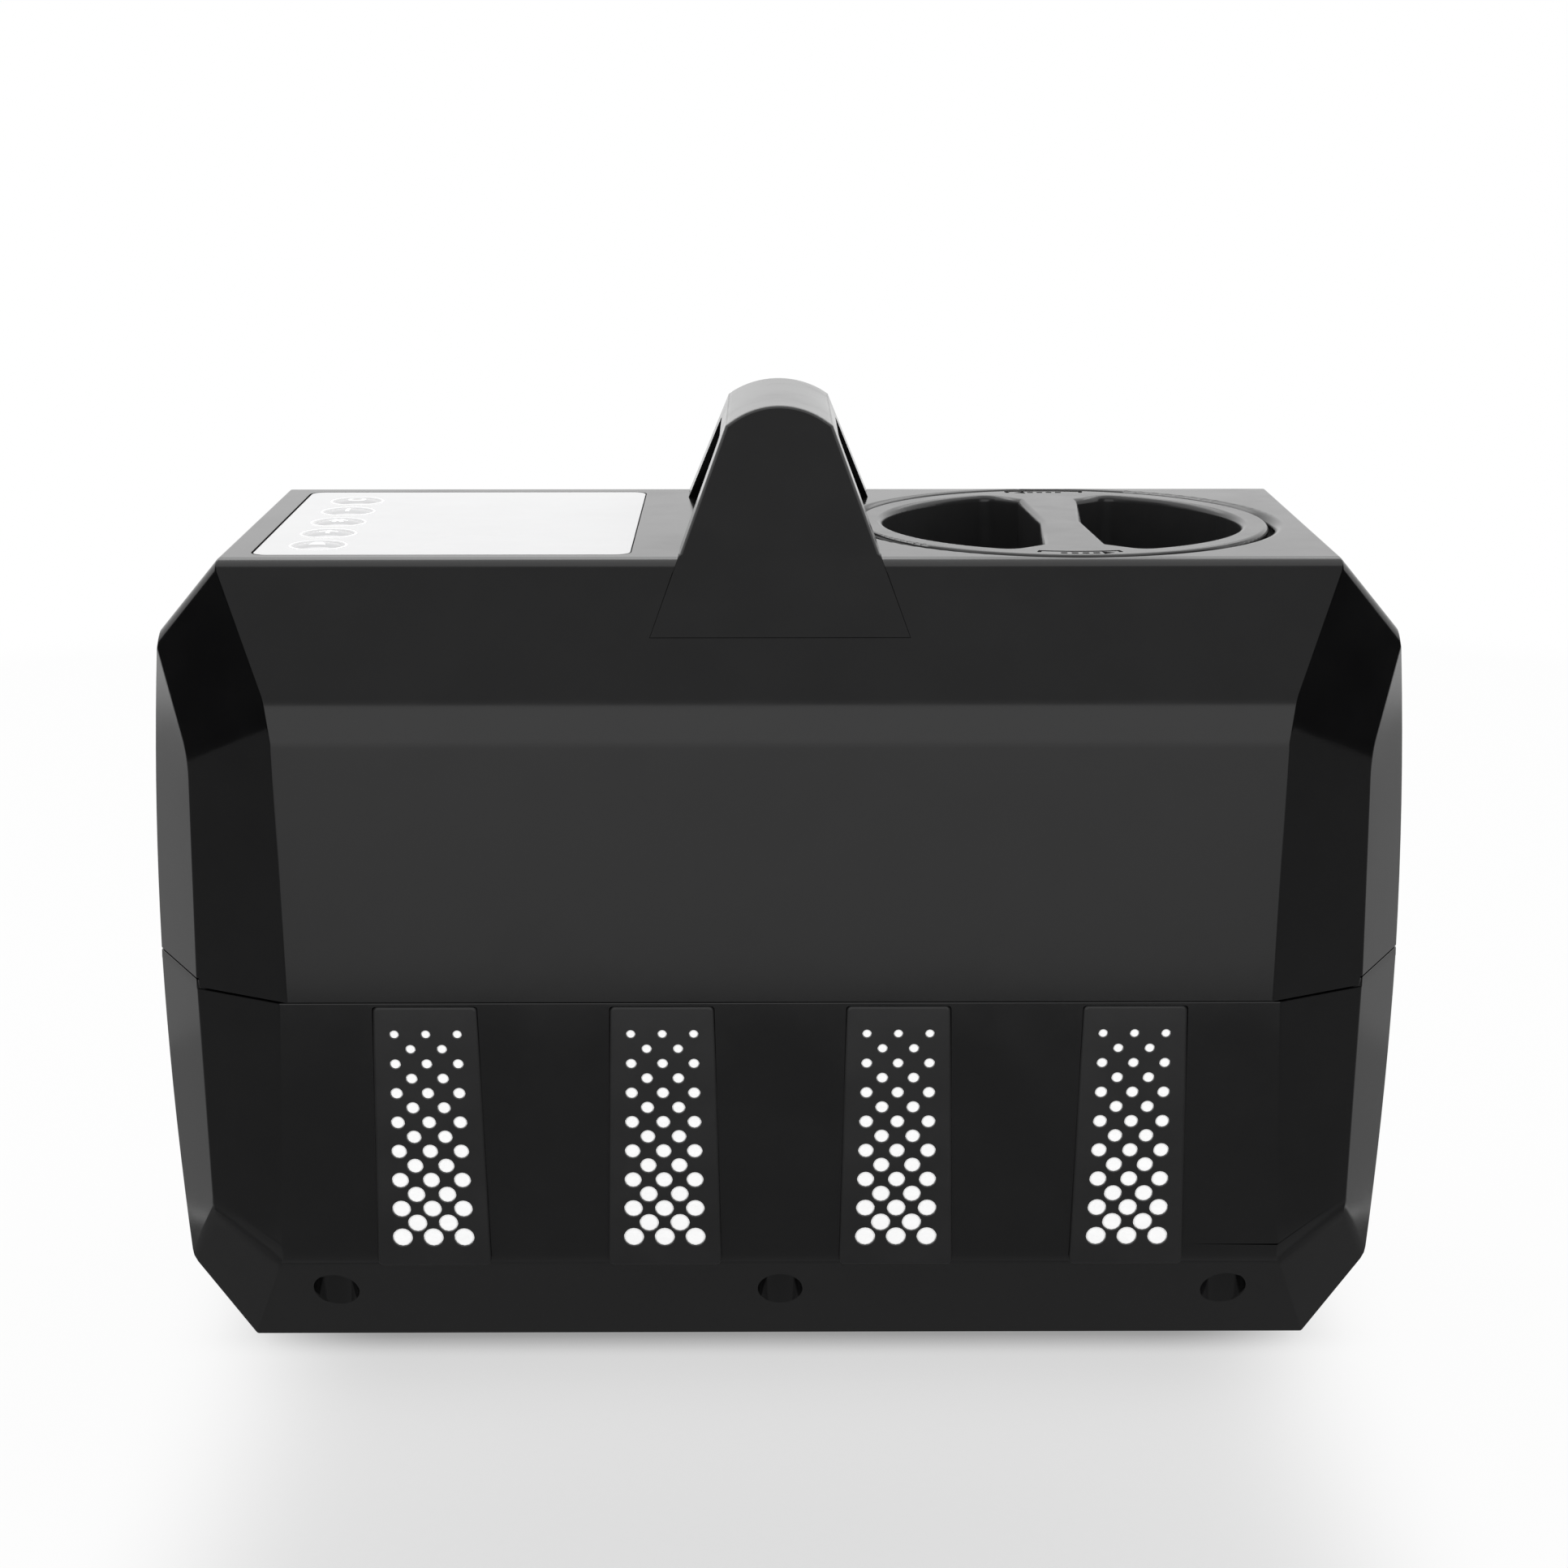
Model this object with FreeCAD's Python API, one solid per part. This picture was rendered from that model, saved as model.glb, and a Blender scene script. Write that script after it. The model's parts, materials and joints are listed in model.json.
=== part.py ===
import FreeCAD, Part
import math
import os
from FreeCAD import Vector

# Hot and cold therapy machine. Millimetres, +Z up, origin on the floor under the middle of the case.
# -Y is the vented side, +Y the side with the hose socket; the lid is towards +X.

# ---- case outline -----------------------------------------------------------------------------
HALF_WIDTH = 179.0        # widest point of the bulged sides
HALF_DEPTH = 96.25        # sharp bend of the front and back
BODY_HEIGHT = 237.0       # base to deck
FOOT_STAND = 3.0          # rubber feet below the base
WALL = 3.0
DECK_HALF_X = 154.0
DECK_HALF_Y = 65.8
DECK_EDGE_R = 6.5
BEND_DROP = 38.3          # deck to bend
BEND_R = 30.0
FACE_LEAN = 4.1           # degrees that the upper faces draw in towards the parting line
SHOULDER_DROP = 21.2      # deck to the top of the bulged side
SHOULDER_IN = 7.0         # how far that top lies inside the widest point
SHOULDER_EDGE_R = 6.0     # rounding between shoulder facet and side slope
WIDEST_DROP = 124.2       # deck to the widest point
SIDE_FOOT_RISE = 25.0     # base to the bottom of the bulged side
SIDE_FOOT_IN = 5.1
BASE_HALF_X = 156.1
BASE_HALF_Y = 49.2
PARTING_DROP = 119.7      # deck to the parting line on the faces
SIDE_PARTING_STEP = 2.6   # the line sits this much higher on flanks and sides
SEAM_GAP = 0.3
PANEL_SET = 0.9           # lower panels lie this far behind the upper faces
PANEL_LEAN = 4.9
CREASE_RISE = 42.5        # base to the crease where panel meets undercut band
BAND_R = 10.0
UNDERCUT = 1.13           # rise over run of the undercut below the band

# ---- corner facets: azimuth from the face normal, lean upwards positive (degrees) ---------------
SHOULDER_AZIMUTH = 38.7
CORNER_AZIMUTH = 28.4
FLANK_AZIMUTH = 61.8
SHOULDER_LEAN = 17.1
UPPER_CORNER_LEAN = -3.8
LOWER_CORNER_LEAN = -3.1
UPPER_FLANK_LEAN = -1.0
LOWER_FLANK_LEAN = -2.0
FOOT_LEAN = -24.4
FACE_EDGE_IN = 42.4       # widest point to the edge between face and corner facet
RIDGE_Y = 46.7            # where the flank meets the bulged side at its widest
SHOULDER_TIP = 1.0        # the shoulder facet clears the deck corner by this much
FACET_BEND_R = 26.0
FOOT_BEVEL = 0.5          # depth of the narrow bevel between flank and foot facet

# ---- tongue that locks the two shells ------------------------------------------------------------
TONGUE_FIT = 0.2
TONGUE_T = 1.5
TONGUE_UP = 4.5
TONGUE_DOWN = 3.0

# ---- carry handle --------------------------------------------------------------------------------
HANDLE_FOOT_DROP = 19.0   # flush foot reaches this far below the deck
HANDLE_FOOT_HALF = 35.2   # half width at the foot
HANDLE_CREST_HALF = 15.1  # half width where the crown starts
HANDLE_CREST_RISE = 33.0
HANDLE_RISE = 38.2
HANDLE_LEG_T = 15.1       # leg thickness, square to the slope
HANDLE_TONGUE_T = 6.0     # let-in foot thickness
HANDLE_GRIP_RISE = 28.0   # deck to the underside of the grip
HANDLE_GRIP_R = 8.0
HANDLE_FIT = 0.15
HANDLE_PAD_T = 3.0
HANDLE_SCREW_X = 12.0
HANDLE_SCREW_R = 1.9
HANDLE_SCREW_LENGTH = 11.0
SCREW_FIT = 0.15

# ---- display fascia and buttons ------------------------------------------------------------------
PANEL_X = -93.7
PANEL_Y = -1.0
PANEL_LENGTH = 105.2
PANEL_WIDTH = 117.1
PANEL_CORNER_R = 4.5
PANEL_T = 2.4
PANEL_FIT = 0.25
PANEL_LEDGE = 5.0
PANEL_FRAME_T = 3.0
BUTTON_COUNT = 5
BUTTON_R = 7.6
BUTTON_FIT = 0.15
BUTTON_EDGE = 17.75       # end of the fascia to the middle of the outer buttons
BUTTON_SIDE = 16.6        # left edge of the fascia to the row of buttons
BUTTON_SHIFT = -1.4       # row of buttons off the fascia's middle
BUTTON_TRAVEL = 1.0
BUTTON_DOME_R = 26.0
BUTTON_RIM_DROP = 0.5     # rim of the dome below the deck
BUTTON_FLANGE = 1.2
BUTTON_STEM_R = 2.0
BOARD_DROP = 12.0         # deck to the top of the display board
BOARD_T = 1.6
BOARD_BOSS_R = 3.5
BOARD_INSET = 1.0         # board edge inside the fascia edge
SWITCH_SIZE = 6.0
SCREEN_LENGTH = 58.0
SCREEN_WIDTH = 76.0
SPACER_LENGTH = 20.0
CONTROL_PART_H = 14.0
CAPACITOR_R = 6.0
CAPACITOR_PITCH = 16.0
CAPACITOR_Y = 30.0        # off the middle of the fascia, as the next ones
RELAY_LENGTH = 16.0
RELAY_WIDTH = 20.0
RELAY_PITCH = 22.0
RELAY_Y = -30.0
CHIP_SIZE = 24.0
CHIP_T = 3.0
RIBBON_WIDTH = 20.0
RIBBON_T = 0.6
RIBBON_FOLD = 6.0
RIBBON_IN = 2.0           # board edge to the fold

# ---- lid, collar and tank ------------------------------------------------------------------------
LID_X = 83.4
LID_R = 60.7
LID_GROOVE = 1.4          # open groove round the lid
LID_RIM_T = 5.0
LID_EDGE_R = 1.5
RIM_ROUND = 3.0           # rounded lip of the deck round the groove
PLUG_R = 56.0
WELL_R = 52.6
WELL_DEPTH = 24.0
WELL_FLOOR_T = 3.0
WELL_FLOOR_R = 6.0
WELL_SIDE_R = 5.0         # upright corner between the well's arc and its cut corner
WELL_LIP_R = 2.0
WELL_CORNER = 41.0        # degrees of the cut corner off the X axis
BRIDGE_WAIST = 6.3        # half width of the finger bridge at its middle
BRIDGE_END = 9.3          # half width at the ends
BRIDGE_LENGTH = 83.0
LUG_COUNT = 3
LUG_REACH = 2.2
LUG_HEIGHT = 4.0
LUG_ANGLE = 20.0
LID_TURN = 30.0
LUG_SLACK = 4.0           # degrees
PLUG_FIT = 1.0
GASKET_T = 1.7
SEAT_GAP = 0.3
LID_BASE_T = 3.0
SKIRT_T = 2.6
COLLAR_H = 20.0
TANK_HALF_X = 62.0
TANK_HALF_Y = 60.0
TANK_CORNER_R = 22.0
TANK_WALL = 2.5
TANK_FLOOR_RISE = 34.0    # base to the underside of the tank
TANK_FOOT_R = 8.0
FOAM_T = 6.0
TANK_SEAL_T = 1.5

# ---- vent strips ---------------------------------------------------------------------------------
VENT_COUNT = 4
VENT_PITCH = 65.5
VENT_TOP_DROP = 1.5       # parting line to the strips
VENT_BOTTOM_RISE = 37.0   # base to the strips' lower end
VENT_TOP_WIDTH = 28.8
VENT_BOTTOM_WIDTH = 31.8
VENT_LEAN = 3.65
VENT_T = 5.0
VENT_SKIN_T = 1.2
VENT_RIM_T = 1.5
VENT_SEAT = 0.1           # wall to the flange
VENT_FIT = 0.15
VENT_CORNER_R = 2.0
VENT_FLANGE = 2.5
VENT_FLANGE_T = 1.5
HOLE_ROWS = 15
HOLE_PITCH = 8.72
ROW_PITCH = 4.43
FIRST_ROW = 8.2           # top of the strip to the first row
HOLE_SMALL = 2.6
HOLE_LARGE = 5.7
HOLE_SIDES = 10
FILTER_T = 3.0
FILTER_FIT = 0.2

# ---- screw wells, case screws and feet -----------------------------------------------------------
WELL_X = 128.6
WELL_Y = 69.7
SCREW_WELL_R = 6.5
WELL_TUBE_T = 2.0
WELL_CEILING_T = 4.0
CASE_SCREW_R = 1.6
CASE_HEAD_R = 4.2
CASE_HEAD_H = 3.0
CASE_SCREW_UP = 12.0
BOSS_R = 5.0
BOSS_UP = 14.0
RIB_T = 3.0
FOOT_R = 9.0
FOOT_X = 138.0
FOOT_Y = 32.0
FOOT_STEM_R = 3.0

# ---- cooler: fan, sink, module, water block, bracket ---------------------------------------------
COOLER_X = -65.5
FAN_SIZE = 70.0
FAN_T = 15.0
FAN_RISE = 42.0           # base to the underside of the fan
FAN_GAP = 3.5             # strips' flanges to the fan
FAN_BORE_R = 33.0
FAN_CORNER_R = 4.0
BLADE_TIP_GAP = 1.0
BLADE_COUNT = 7
BLADE_TWIST = 38.0
BLADE_T = 1.6
HUB_R = 13.0
FAN_SHAFT_R = 1.5
SHAFT_FIT = 0.05
STRUT_W = 3.0
SINK_DEPTH = 28.0
SINK_BASE_T = 4.0
FIN_COUNT = 14
FIN_T = 1.2
MODULE_SIZE = 40.0
MODULE_T = 3.8
BLOCK_SIZE = 54.0
BLOCK_T = 12.0
BRACKET_T = 2.0
PORT_R = 3.5
PORT_LENGTH = 10.0
PORT_SPREAD = 12.0

# ---- pumps ---------------------------------------------------------------------------------------
PUMP_X = -24.0            # pump's inlet face
PUMP_Y = 20.0
PUMP_RISE = 47.0          # base to the pump's axis
PUMP_R = 24.0
PUMP_WALL = 2.5
PUMP_COVER_T = 3.0
PUMP_VOLUTE_T = 16.0
MOTOR_R = 18.0
MOTOR_LENGTH = 40.0
IMPELLER_R = 18.0
IMPELLER_HUB_R = 6.0
VANE_COUNT = 6
PUMP_SHAFT_R = 1.5
AIR_PUMP_OUT = 65.5       # cooler's middle to the air pump's middle
AIR_PUMP_LENGTH = 38.0
AIR_PUMP_WIDTH = 56.0
AIR_PUMP_HEIGHT = 40.0
AIR_PAD_T = 4.0
VALVE_HEIGHT = 20.0

# ---- hose socket and power inlet on the +Y side --------------------------------------------------
SOCKET_X = -62.0
SOCKET_RISE = 77.0        # base to the ports' axis
SOCKET_LENGTH = 56.0
SOCKET_HEIGHT = 38.0
SOCKET_DEPTH = 24.0
SOCKET_RECESS = 2.46      # panel to the socket's face, at the ports' height
SOCKET_CORNER_R = 8.0
SOCKET_FLANGE = 3.0
SOCKET_FIT = 0.2
HOSE_PORT_R = 4.0
HOSE_PORT_DEPTH = 14.0
HOSE_PORT_PITCH = 16.0
HOSE_PORT_DROP = 6.0      # ports below the socket's middle
RELEASE_LENGTH = 20.0
RELEASE_HEIGHT = 8.0
RELEASE_TRAVEL = 2.5
RELEASE_PROUD = 2.6
RELEASE_FIT = 0.25
RELEASE_LIFT = 10.0       # release button above the socket's middle
INLET_X = -104.0
INLET_BORE_R = 6.0
INLET_BORE_DEPTH = 10.0
INLET_R = 9.0
INLET_FLANGE_R = 11.0
LEAD_R = 2.0

# ---- tubes ---------------------------------------------------------------------------------------
TUBE_WALL = 1.2
TUBE_BEND_R = 9.0
CROSSING_GAP = 14.0

# ---- derived levels and planes -------------------------------------------------------------------
BASE = FOOT_STAND
DECK = BASE + BODY_HEIGHT
PARTING = DECK - PARTING_DROP
FLOOR = BASE + WALL
FAR = 320.0
STEP_Y_MARGIN = 30.0


def slope(angle):
    return math.tan(math.radians(angle))


TOP_LEAN = math.degrees(math.atan2(HALF_DEPTH - DECK_HALF_Y, BEND_DROP))
BEND_Z = DECK - BEND_DROP
CREASE_Z = BASE + CREASE_RISE


def slope_y(z):
    """Half depth of the upper slope at height z."""
    return DECK_HALF_Y + (DECK - z) * slope(TOP_LEAN)


def face_y(z):
    """Half depth of the upper face at height z."""
    return HALF_DEPTH - (BEND_Z - z) * slope(FACE_LEAN)


def panel_y(z):
    """Half depth of the recessed lower panel at height z."""
    return face_y(PARTING) - PANEL_SET - (PARTING - z) * slope(PANEL_LEAN)


def vent_y(z):
    """Half depth of the vent strips' front at height z."""
    return face_y(PARTING) - PANEL_SET - (PARTING - z) * slope(VENT_LEAN)


# ---- small builders ------------------------------------------------------------------------------
def box(x0, x1, y0, y1, z0, z1):
    return Part.makeBox(x1 - x0, y1 - y0, z1 - z0, Vector(x0, y0, z0))


def centred_box(x, y, length, width, z0, z1):
    return box(x - length / 2, x + length / 2, y - width / 2, y + width / 2, z0, z1)


def cylinder(r, z0, z1, x=0.0, y=0.0):
    return Part.makeCylinder(r, z1 - z0, Vector(x, y, z0))


def cylinder_y(r, y0, y1, x, z):
    return Part.makeCylinder(r, y1 - y0, Vector(x, y0, z), Vector(0, 1, 0))


def cylinder_x(r, x0, x1, y, z):
    return Part.makeCylinder(r, x1 - x0, Vector(x0, y, z), Vector(1, 0, 0))


def outline(corners):
    """Closed wire through (point, radius) corners, each rounded by a tangent arc."""
    trims = []
    for i, (point, radius) in enumerate(corners):
        if radius <= 0:
            trims.append((point, None, point))
            continue
        back = (corners[i - 1][0] - point).normalize()
        ahead = (corners[(i + 1) % len(corners)][0] - point).normalize()
        half = back.getAngle(ahead) / 2
        reach = radius / math.tan(half)
        middle = point + (back + ahead).normalize() * (radius / math.sin(half) - radius)
        trims.append((point + back * reach, middle, point + ahead * reach))
    edges = []
    for i, (start, middle, end) in enumerate(trims):
        if middle is not None:
            edges.append(Part.Arc(start, middle, end).toShape())
        following = trims[(i + 1) % len(trims)][0]
        if (following - end).Length > 1e-6:
            edges.append(Part.LineSegment(end, following).toShape())
    return Part.Wire(edges)


def prism(wire, travel):
    return Part.Face(wire).extrude(travel)


def rounded_box(x0, x1, y0, y1, z0, z1, r):
    """Box whose upright edges are rounded."""
    points = [(x0, y0), (x1, y0), (x1, y1), (x0, y1)]
    wire = outline([(Vector(x, y, z0), r) for x, y in points])
    return prism(wire, Vector(0, 0, z1 - z0))


def rounded_box_y(x0, x1, y0, y1, z0, z1, r):
    """Box whose edges along Y are rounded."""
    points = [(x0, z0), (x1, z0), (x1, z1), (x0, z1)]
    wire = outline([(Vector(x, y0, z), r) for x, z in points])
    return prism(wire, Vector(0, y1 - y0, 0))


def slab_x(points, x0, x1):
    """Prism along X over (y, z) corners."""
    wire = outline([(Vector(x0, y, z), 0) for y, z in points])
    return prism(wire, Vector(x1 - x0, 0, 0))


def ring(r_in, r_out, z0, z1, x=0.0, y=0.0):
    return cylinder(r_out, z0, z1, x, y).cut(cylinder(r_in, z0, z1, x, y))


def union(shapes):
    shapes = list(shapes)
    return shapes[0].multiFuse(shapes[1:]).removeSplitter() if len(shapes) > 1 else shapes[0]


def mirror_x(shape):
    return shape.mirror(Vector(0, 0, 0), Vector(1, 0, 0))


def mirror_y(shape):
    return shape.mirror(Vector(0, 0, 0), Vector(0, 1, 0))


def all_corners(shape):
    """The shape and its copies in the other three quarters."""
    pair = [shape, mirror_x(shape)]
    return pair + [mirror_y(one) for one in pair]


def turned(shape, degrees, centre, axis):
    copy = shape.copy()
    copy.rotate(centre, axis, degrees)
    return copy


# ---- the case's outer form -----------------------------------------------------------------------
def front_form(inset):
    """Everything between the bulged sides, extruded along Y."""
    side_top = Vector(HALF_WIDTH - SHOULDER_IN, 0, DECK - SHOULDER_DROP)
    widest = Vector(HALF_WIDTH, 0, DECK - WIDEST_DROP)
    side_foot = Vector(HALF_WIDTH - SIDE_FOOT_IN, 0, BASE + SIDE_FOOT_RISE)
    deck_end = Vector(DECK_HALF_X, 0, DECK)
    base_end = Vector(BASE_HALF_X, 0, BASE)

    def across(point):
        return Vector(-point.x, point.y, point.z)

    def line(a, b):
        return Part.LineSegment(a, b).toShape()

    right = Part.Arc(side_top, widest, side_foot).toShape()
    left = Part.Arc(across(side_foot), across(widest), across(side_top)).toShape()
    wire = Part.Wire([line(deck_end, side_top), right, line(side_foot, base_end),
                      line(base_end, across(base_end)), line(across(base_end), across(side_foot)),
                      left, line(across(side_top), across(deck_end)), line(across(deck_end), deck_end)])
    return spread(wire, inset, Vector(0, FAR, 0))


def spread(wire, inset, travel):
    """Solid from a wire moved inwards by inset and extruded by travel to both sides."""
    inner = wire.makeOffset2D(-inset, 2) if inset else wire
    inner = inner.copy()
    inner.translate(travel * -0.5)
    return prism(inner, travel)


def side_form_upper(inset):
    low = PARTING - STEP_Y_MARGIN
    half = [((DECK_HALF_Y, DECK), DECK_EDGE_R), ((HALF_DEPTH, BEND_Z), BEND_R), ((face_y(low), low), 0)]
    return side_form(half, inset)


def side_form_lower(inset):
    high = PARTING + STEP_Y_MARGIN
    band_y = panel_y(CREASE_Z)
    band_z = BASE + (band_y - BASE_HALF_Y) * UNDERCUT
    half = [((panel_y(high), high), 0), ((band_y, CREASE_Z), 0), ((band_y, band_z), BAND_R), ((BASE_HALF_Y, BASE), 0)]
    return side_form(half, inset)


def side_form(half, inset):
    """Solid over one half outline in (y, z) and its mirror image, extruded along X."""
    corners = [(Vector(0, y, z), r) for (y, z), r in half]
    corners += [(Vector(0, -y, z), r) for (y, z), r in reversed(half)]
    return spread(outline(corners), inset, Vector(2 * FAR, 0, 0))


def normal(azimuth, lean):
    """Outward unit normal of a facet in the +X +Y quarter."""
    a, t = math.radians(azimuth), math.radians(lean)
    return Vector(math.sin(a) * math.cos(t), math.cos(a) * math.cos(t), math.sin(t))


def meeting_point(planes):
    """Point on three planes, each given by a normal and a point."""
    (n1, p1), (n2, p2), (n3, p3) = planes
    total = n2.cross(n3) * n1.dot(p1) + n3.cross(n1) * n2.dot(p2) + n1.cross(n2) * n3.dot(p3)
    return total * (1.0 / n1.dot(n2.cross(n3)))


def bent_cutter(upper, lower, radius, inset):
    """Everything outside two facets that meet in a rounded bend; each is (normal, point)."""
    upper = (upper[0], upper[1] - upper[0] * inset)
    lower = (lower[0], lower[1] - lower[0] * inset)
    along = upper[0].cross(lower[0]).normalize()
    ridge = meeting_point([upper, lower, (along, upper[1])])
    up = along.cross(upper[0]).normalize()
    up = up if up.z > 0 else up * -1
    down = along.cross(lower[0]).normalize()
    down = down if down.z < 0 else down * -1
    ends = [ridge + up * FAR, ridge + (up + upper[0]) * FAR, ridge + (down + lower[0]) * FAR, ridge + down * FAR]
    wire = outline([(ridge, radius)] + [(end, 0) for end in ends])
    cutter = prism(wire, along * 2 * FAR)
    cutter.translate(along * -FAR)
    return cutter


def flat_cutter(facet, inset):
    """Everything outside one facet."""
    out, point = facet
    start = point - out * inset
    cutter = Part.makeBox(2 * FAR, 2 * FAR, FAR)
    cutter.translate(Vector(-FAR, -FAR, 0))
    cutter.rotate(Vector(0, 0, 0), Vector(0, 0, 1).cross(out), math.degrees(Vector(0, 0, 1).getAngle(out)))
    cutter.translate(start)
    return cutter


def facet_points():
    """Points that the corner facets pass through: face edges, ridge, deck corner and base corner."""
    edge_x = HALF_WIDTH - FACE_EDGE_IN
    tip = Vector(DECK_HALF_X, DECK_HALF_Y, DECK) + normal(SHOULDER_AZIMUTH, 0) * SHOULDER_TIP
    return {"bend": Vector(edge_x, HALF_DEPTH, BEND_Z),
            "parting": Vector(edge_x, face_y(PARTING), PARTING),
            "ridge": Vector(HALF_WIDTH, RIDGE_Y, PARTING),
            "deck": tip,
            "base": Vector(BASE_HALF_X, BASE_HALF_Y, BASE)}


def side_slope():
    """Slope between the deck and the bulged side: outward normal and a point on it."""
    run = HALF_WIDTH - SHOULDER_IN - DECK_HALF_X
    return Vector(SHOULDER_DROP, 0, run).normalize(), Vector(DECK_HALF_X, 0, DECK)


def form_upper(inset):
    """Upper half of the case, from the parting line up, moved inwards by inset."""
    at = facet_points()
    shoulder = (normal(SHOULDER_AZIMUTH, SHOULDER_LEAN), at["deck"])
    bend = bent_cutter(shoulder, (normal(CORNER_AZIMUTH, UPPER_CORNER_LEAN), at["bend"]), FACET_BEND_R, inset)
    edge = bent_cutter(side_slope(), shoulder, SHOULDER_EDGE_R, inset)
    flank = flat_cutter((normal(FLANK_AZIMUTH, UPPER_FLANK_LEAN), at["ridge"]), inset)
    body = side_form_upper(inset).common(front_form(inset))
    body = body.common(box(-FAR, FAR, -FAR, FAR, PARTING - TONGUE_DOWN, DECK + 1))
    return body.cut(all_corners(bend) + all_corners(edge) + all_corners(flank))


def form_lower(inset):
    """Lower half of the case, from the parting line down, moved inwards by inset."""
    at = facet_points()
    foot = (normal(SHOULDER_AZIMUTH, FOOT_LEAN), at["base"])
    flank = (normal(FLANK_AZIMUTH, LOWER_FLANK_LEAN), at["ridge"])
    bend = bent_cutter((normal(CORNER_AZIMUTH, LOWER_CORNER_LEAN), at["parting"]), foot, FACET_BEND_R, inset)
    bevel_out = (foot[0] + flank[0]).normalize()
    bevel_at = meeting_point([foot, flank, (Vector(0, 0, 1), at["base"])])
    bevel = flat_cutter((bevel_out, bevel_at), inset + FOOT_BEVEL)
    body = side_form_lower(inset).common(front_form(inset))
    body = body.common(box(-FAR, FAR, -FAR, FAR, BASE - 1, PARTING + TONGUE_UP))
    return body.cut(all_corners(bend) + all_corners(flat_cutter(flank, inset)) + all_corners(bevel))


def step_zone(z0, z1):
    """Flanks and sides, where the parting line sits higher."""
    at = facet_points()
    corner = normal(CORNER_AZIMUTH, UPPER_CORNER_LEAN)
    flank = normal(FLANK_AZIMUTH, UPPER_FLANK_LEAN)
    edge = meeting_point([(corner, at["parting"]), (flank, at["ridge"]), (Vector(0, 0, 1), at["parting"])])
    inner_x = HALF_WIDTH - FACE_EDGE_IN
    zone = box(inner_x, FAR, -edge.y, edge.y, z0, z1)
    return zone.fuse(mirror_x(zone))


def above(z):
    return box(-FAR, FAR, -FAR, FAR, z, DECK + FAR)


def below(z):
    return box(-FAR, FAR, -FAR, FAR, -FAR, z)


# ---- fittings shared by shells and pieces ----------------------------------------------------------
def vent_centres():
    return [(i - (VENT_COUNT - 1) / 2) * VENT_PITCH for i in range(VENT_COUNT)]


def vent_levels():
    return PARTING - VENT_TOP_DROP, BASE + VENT_BOTTOM_RISE


def vent_shape(x, front, back, grow, bottom_drop=0.0):
    """Tapered strip between two depth functions of z, on the -Y side."""
    top, bottom = vent_levels()
    bottom -= bottom_drop
    half_top, half_bottom = VENT_TOP_WIDTH / 2 + grow, VENT_BOTTOM_WIDTH / 2 + grow
    corners = [(-half_top, top + grow, VENT_CORNER_R / 2), (half_top, top + grow, VENT_CORNER_R / 2),
               (half_bottom, bottom - grow, VENT_CORNER_R), (-half_bottom, bottom - grow, VENT_CORNER_R)]
    wire = outline([(Vector(x + cx, -FAR / 2, cz), r) for cx, cz, r in corners])
    plan = prism(wire, Vector(0, FAR / 2, 0))
    z0, z1 = bottom - 10, top + 10
    body = slab_x([(-front(z0), z0), (-back(z0), z0), (-back(z1), z1), (-front(z1), z1)], -FAR, FAR)
    return plan.common(body)


def screw_wells():
    xs = (-WELL_X, 0.0, WELL_X)
    return [(x, y) for x in xs for y in (-WELL_Y, WELL_Y)]


def well_ceiling():
    return PARTING - SEAM_GAP


def handle_slab(outer, inner, z0, z1, half_x):
    """Slab along both top slopes, between two depths square to the slope."""
    lean = math.cos(math.radians(TOP_LEAN))

    def edge(z, depth):
        return slope_y(z) - depth / lean
    side = slab_x([(edge(z0, outer), z0), (edge(z0, inner), z0), (edge(z1, inner), z1), (edge(z1, outer), z1)],
                  -half_x, half_x)
    return side.fuse(mirror_y(side))


def handle_outline(grow):
    """Front view of the handle, extruded along Y."""
    foot, crest = HANDLE_FOOT_HALF + grow, HANDLE_CREST_HALF + grow
    low, high = DECK - HANDLE_FOOT_DROP - grow, DECK + HANDLE_CREST_RISE
    y = -FAR / 2
    left, right = Vector(-crest, y, high), Vector(crest, y, high)
    crown = Part.Arc(right, Vector(0, y, DECK + HANDLE_RISE), left).toShape()
    points = [left, Vector(-foot, y, low), Vector(foot, y, low), right]
    lines = [Part.LineSegment(a, b).toShape() for a, b in zip(points, points[1:])]
    return prism(Part.Wire([crown] + lines), Vector(0, FAR, 0))


def screw_marks():
    """Handle screw places on the deck, nearer the legs' inner face so that the bore stays inside."""
    middle = slope_y(DECK) - HANDLE_LEG_T / math.cos(math.radians(TOP_LEAN)) * 0.72
    return [(x, y) for x in (-HANDLE_SCREW_X, HANDLE_SCREW_X) for y in (-middle, middle)]


def socket_frame(grow, y0, y1):
    """Socket outline grown by grow, between two depths."""
    z = BASE + SOCKET_RISE + HOSE_PORT_DROP
    half_x, half_z = SOCKET_LENGTH / 2 + grow, SOCKET_HEIGHT / 2 + grow
    return rounded_box_y(SOCKET_X - half_x, SOCKET_X + half_x, y0, y1, z - half_z, z + half_z,
                         SOCKET_CORNER_R + grow)


def hose_port_places():
    z = BASE + SOCKET_RISE
    return [(SOCKET_X + (i - 1) * HOSE_PORT_PITCH, z) for i in range(3)]


def button_places():
    pitch = (PANEL_WIDTH - 2 * BUTTON_EDGE) / (BUTTON_COUNT - 1)
    middle = PANEL_Y + BUTTON_SHIFT
    return [(button_x(), middle + (i - (BUTTON_COUNT - 1) / 2) * pitch) for i in range(BUTTON_COUNT)]


def button_x():
    return PANEL_X - PANEL_LENGTH / 2 + BUTTON_SIDE


def socket_face_y():
    return panel_y(BASE + SOCKET_RISE) - SOCKET_RECESS


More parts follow.
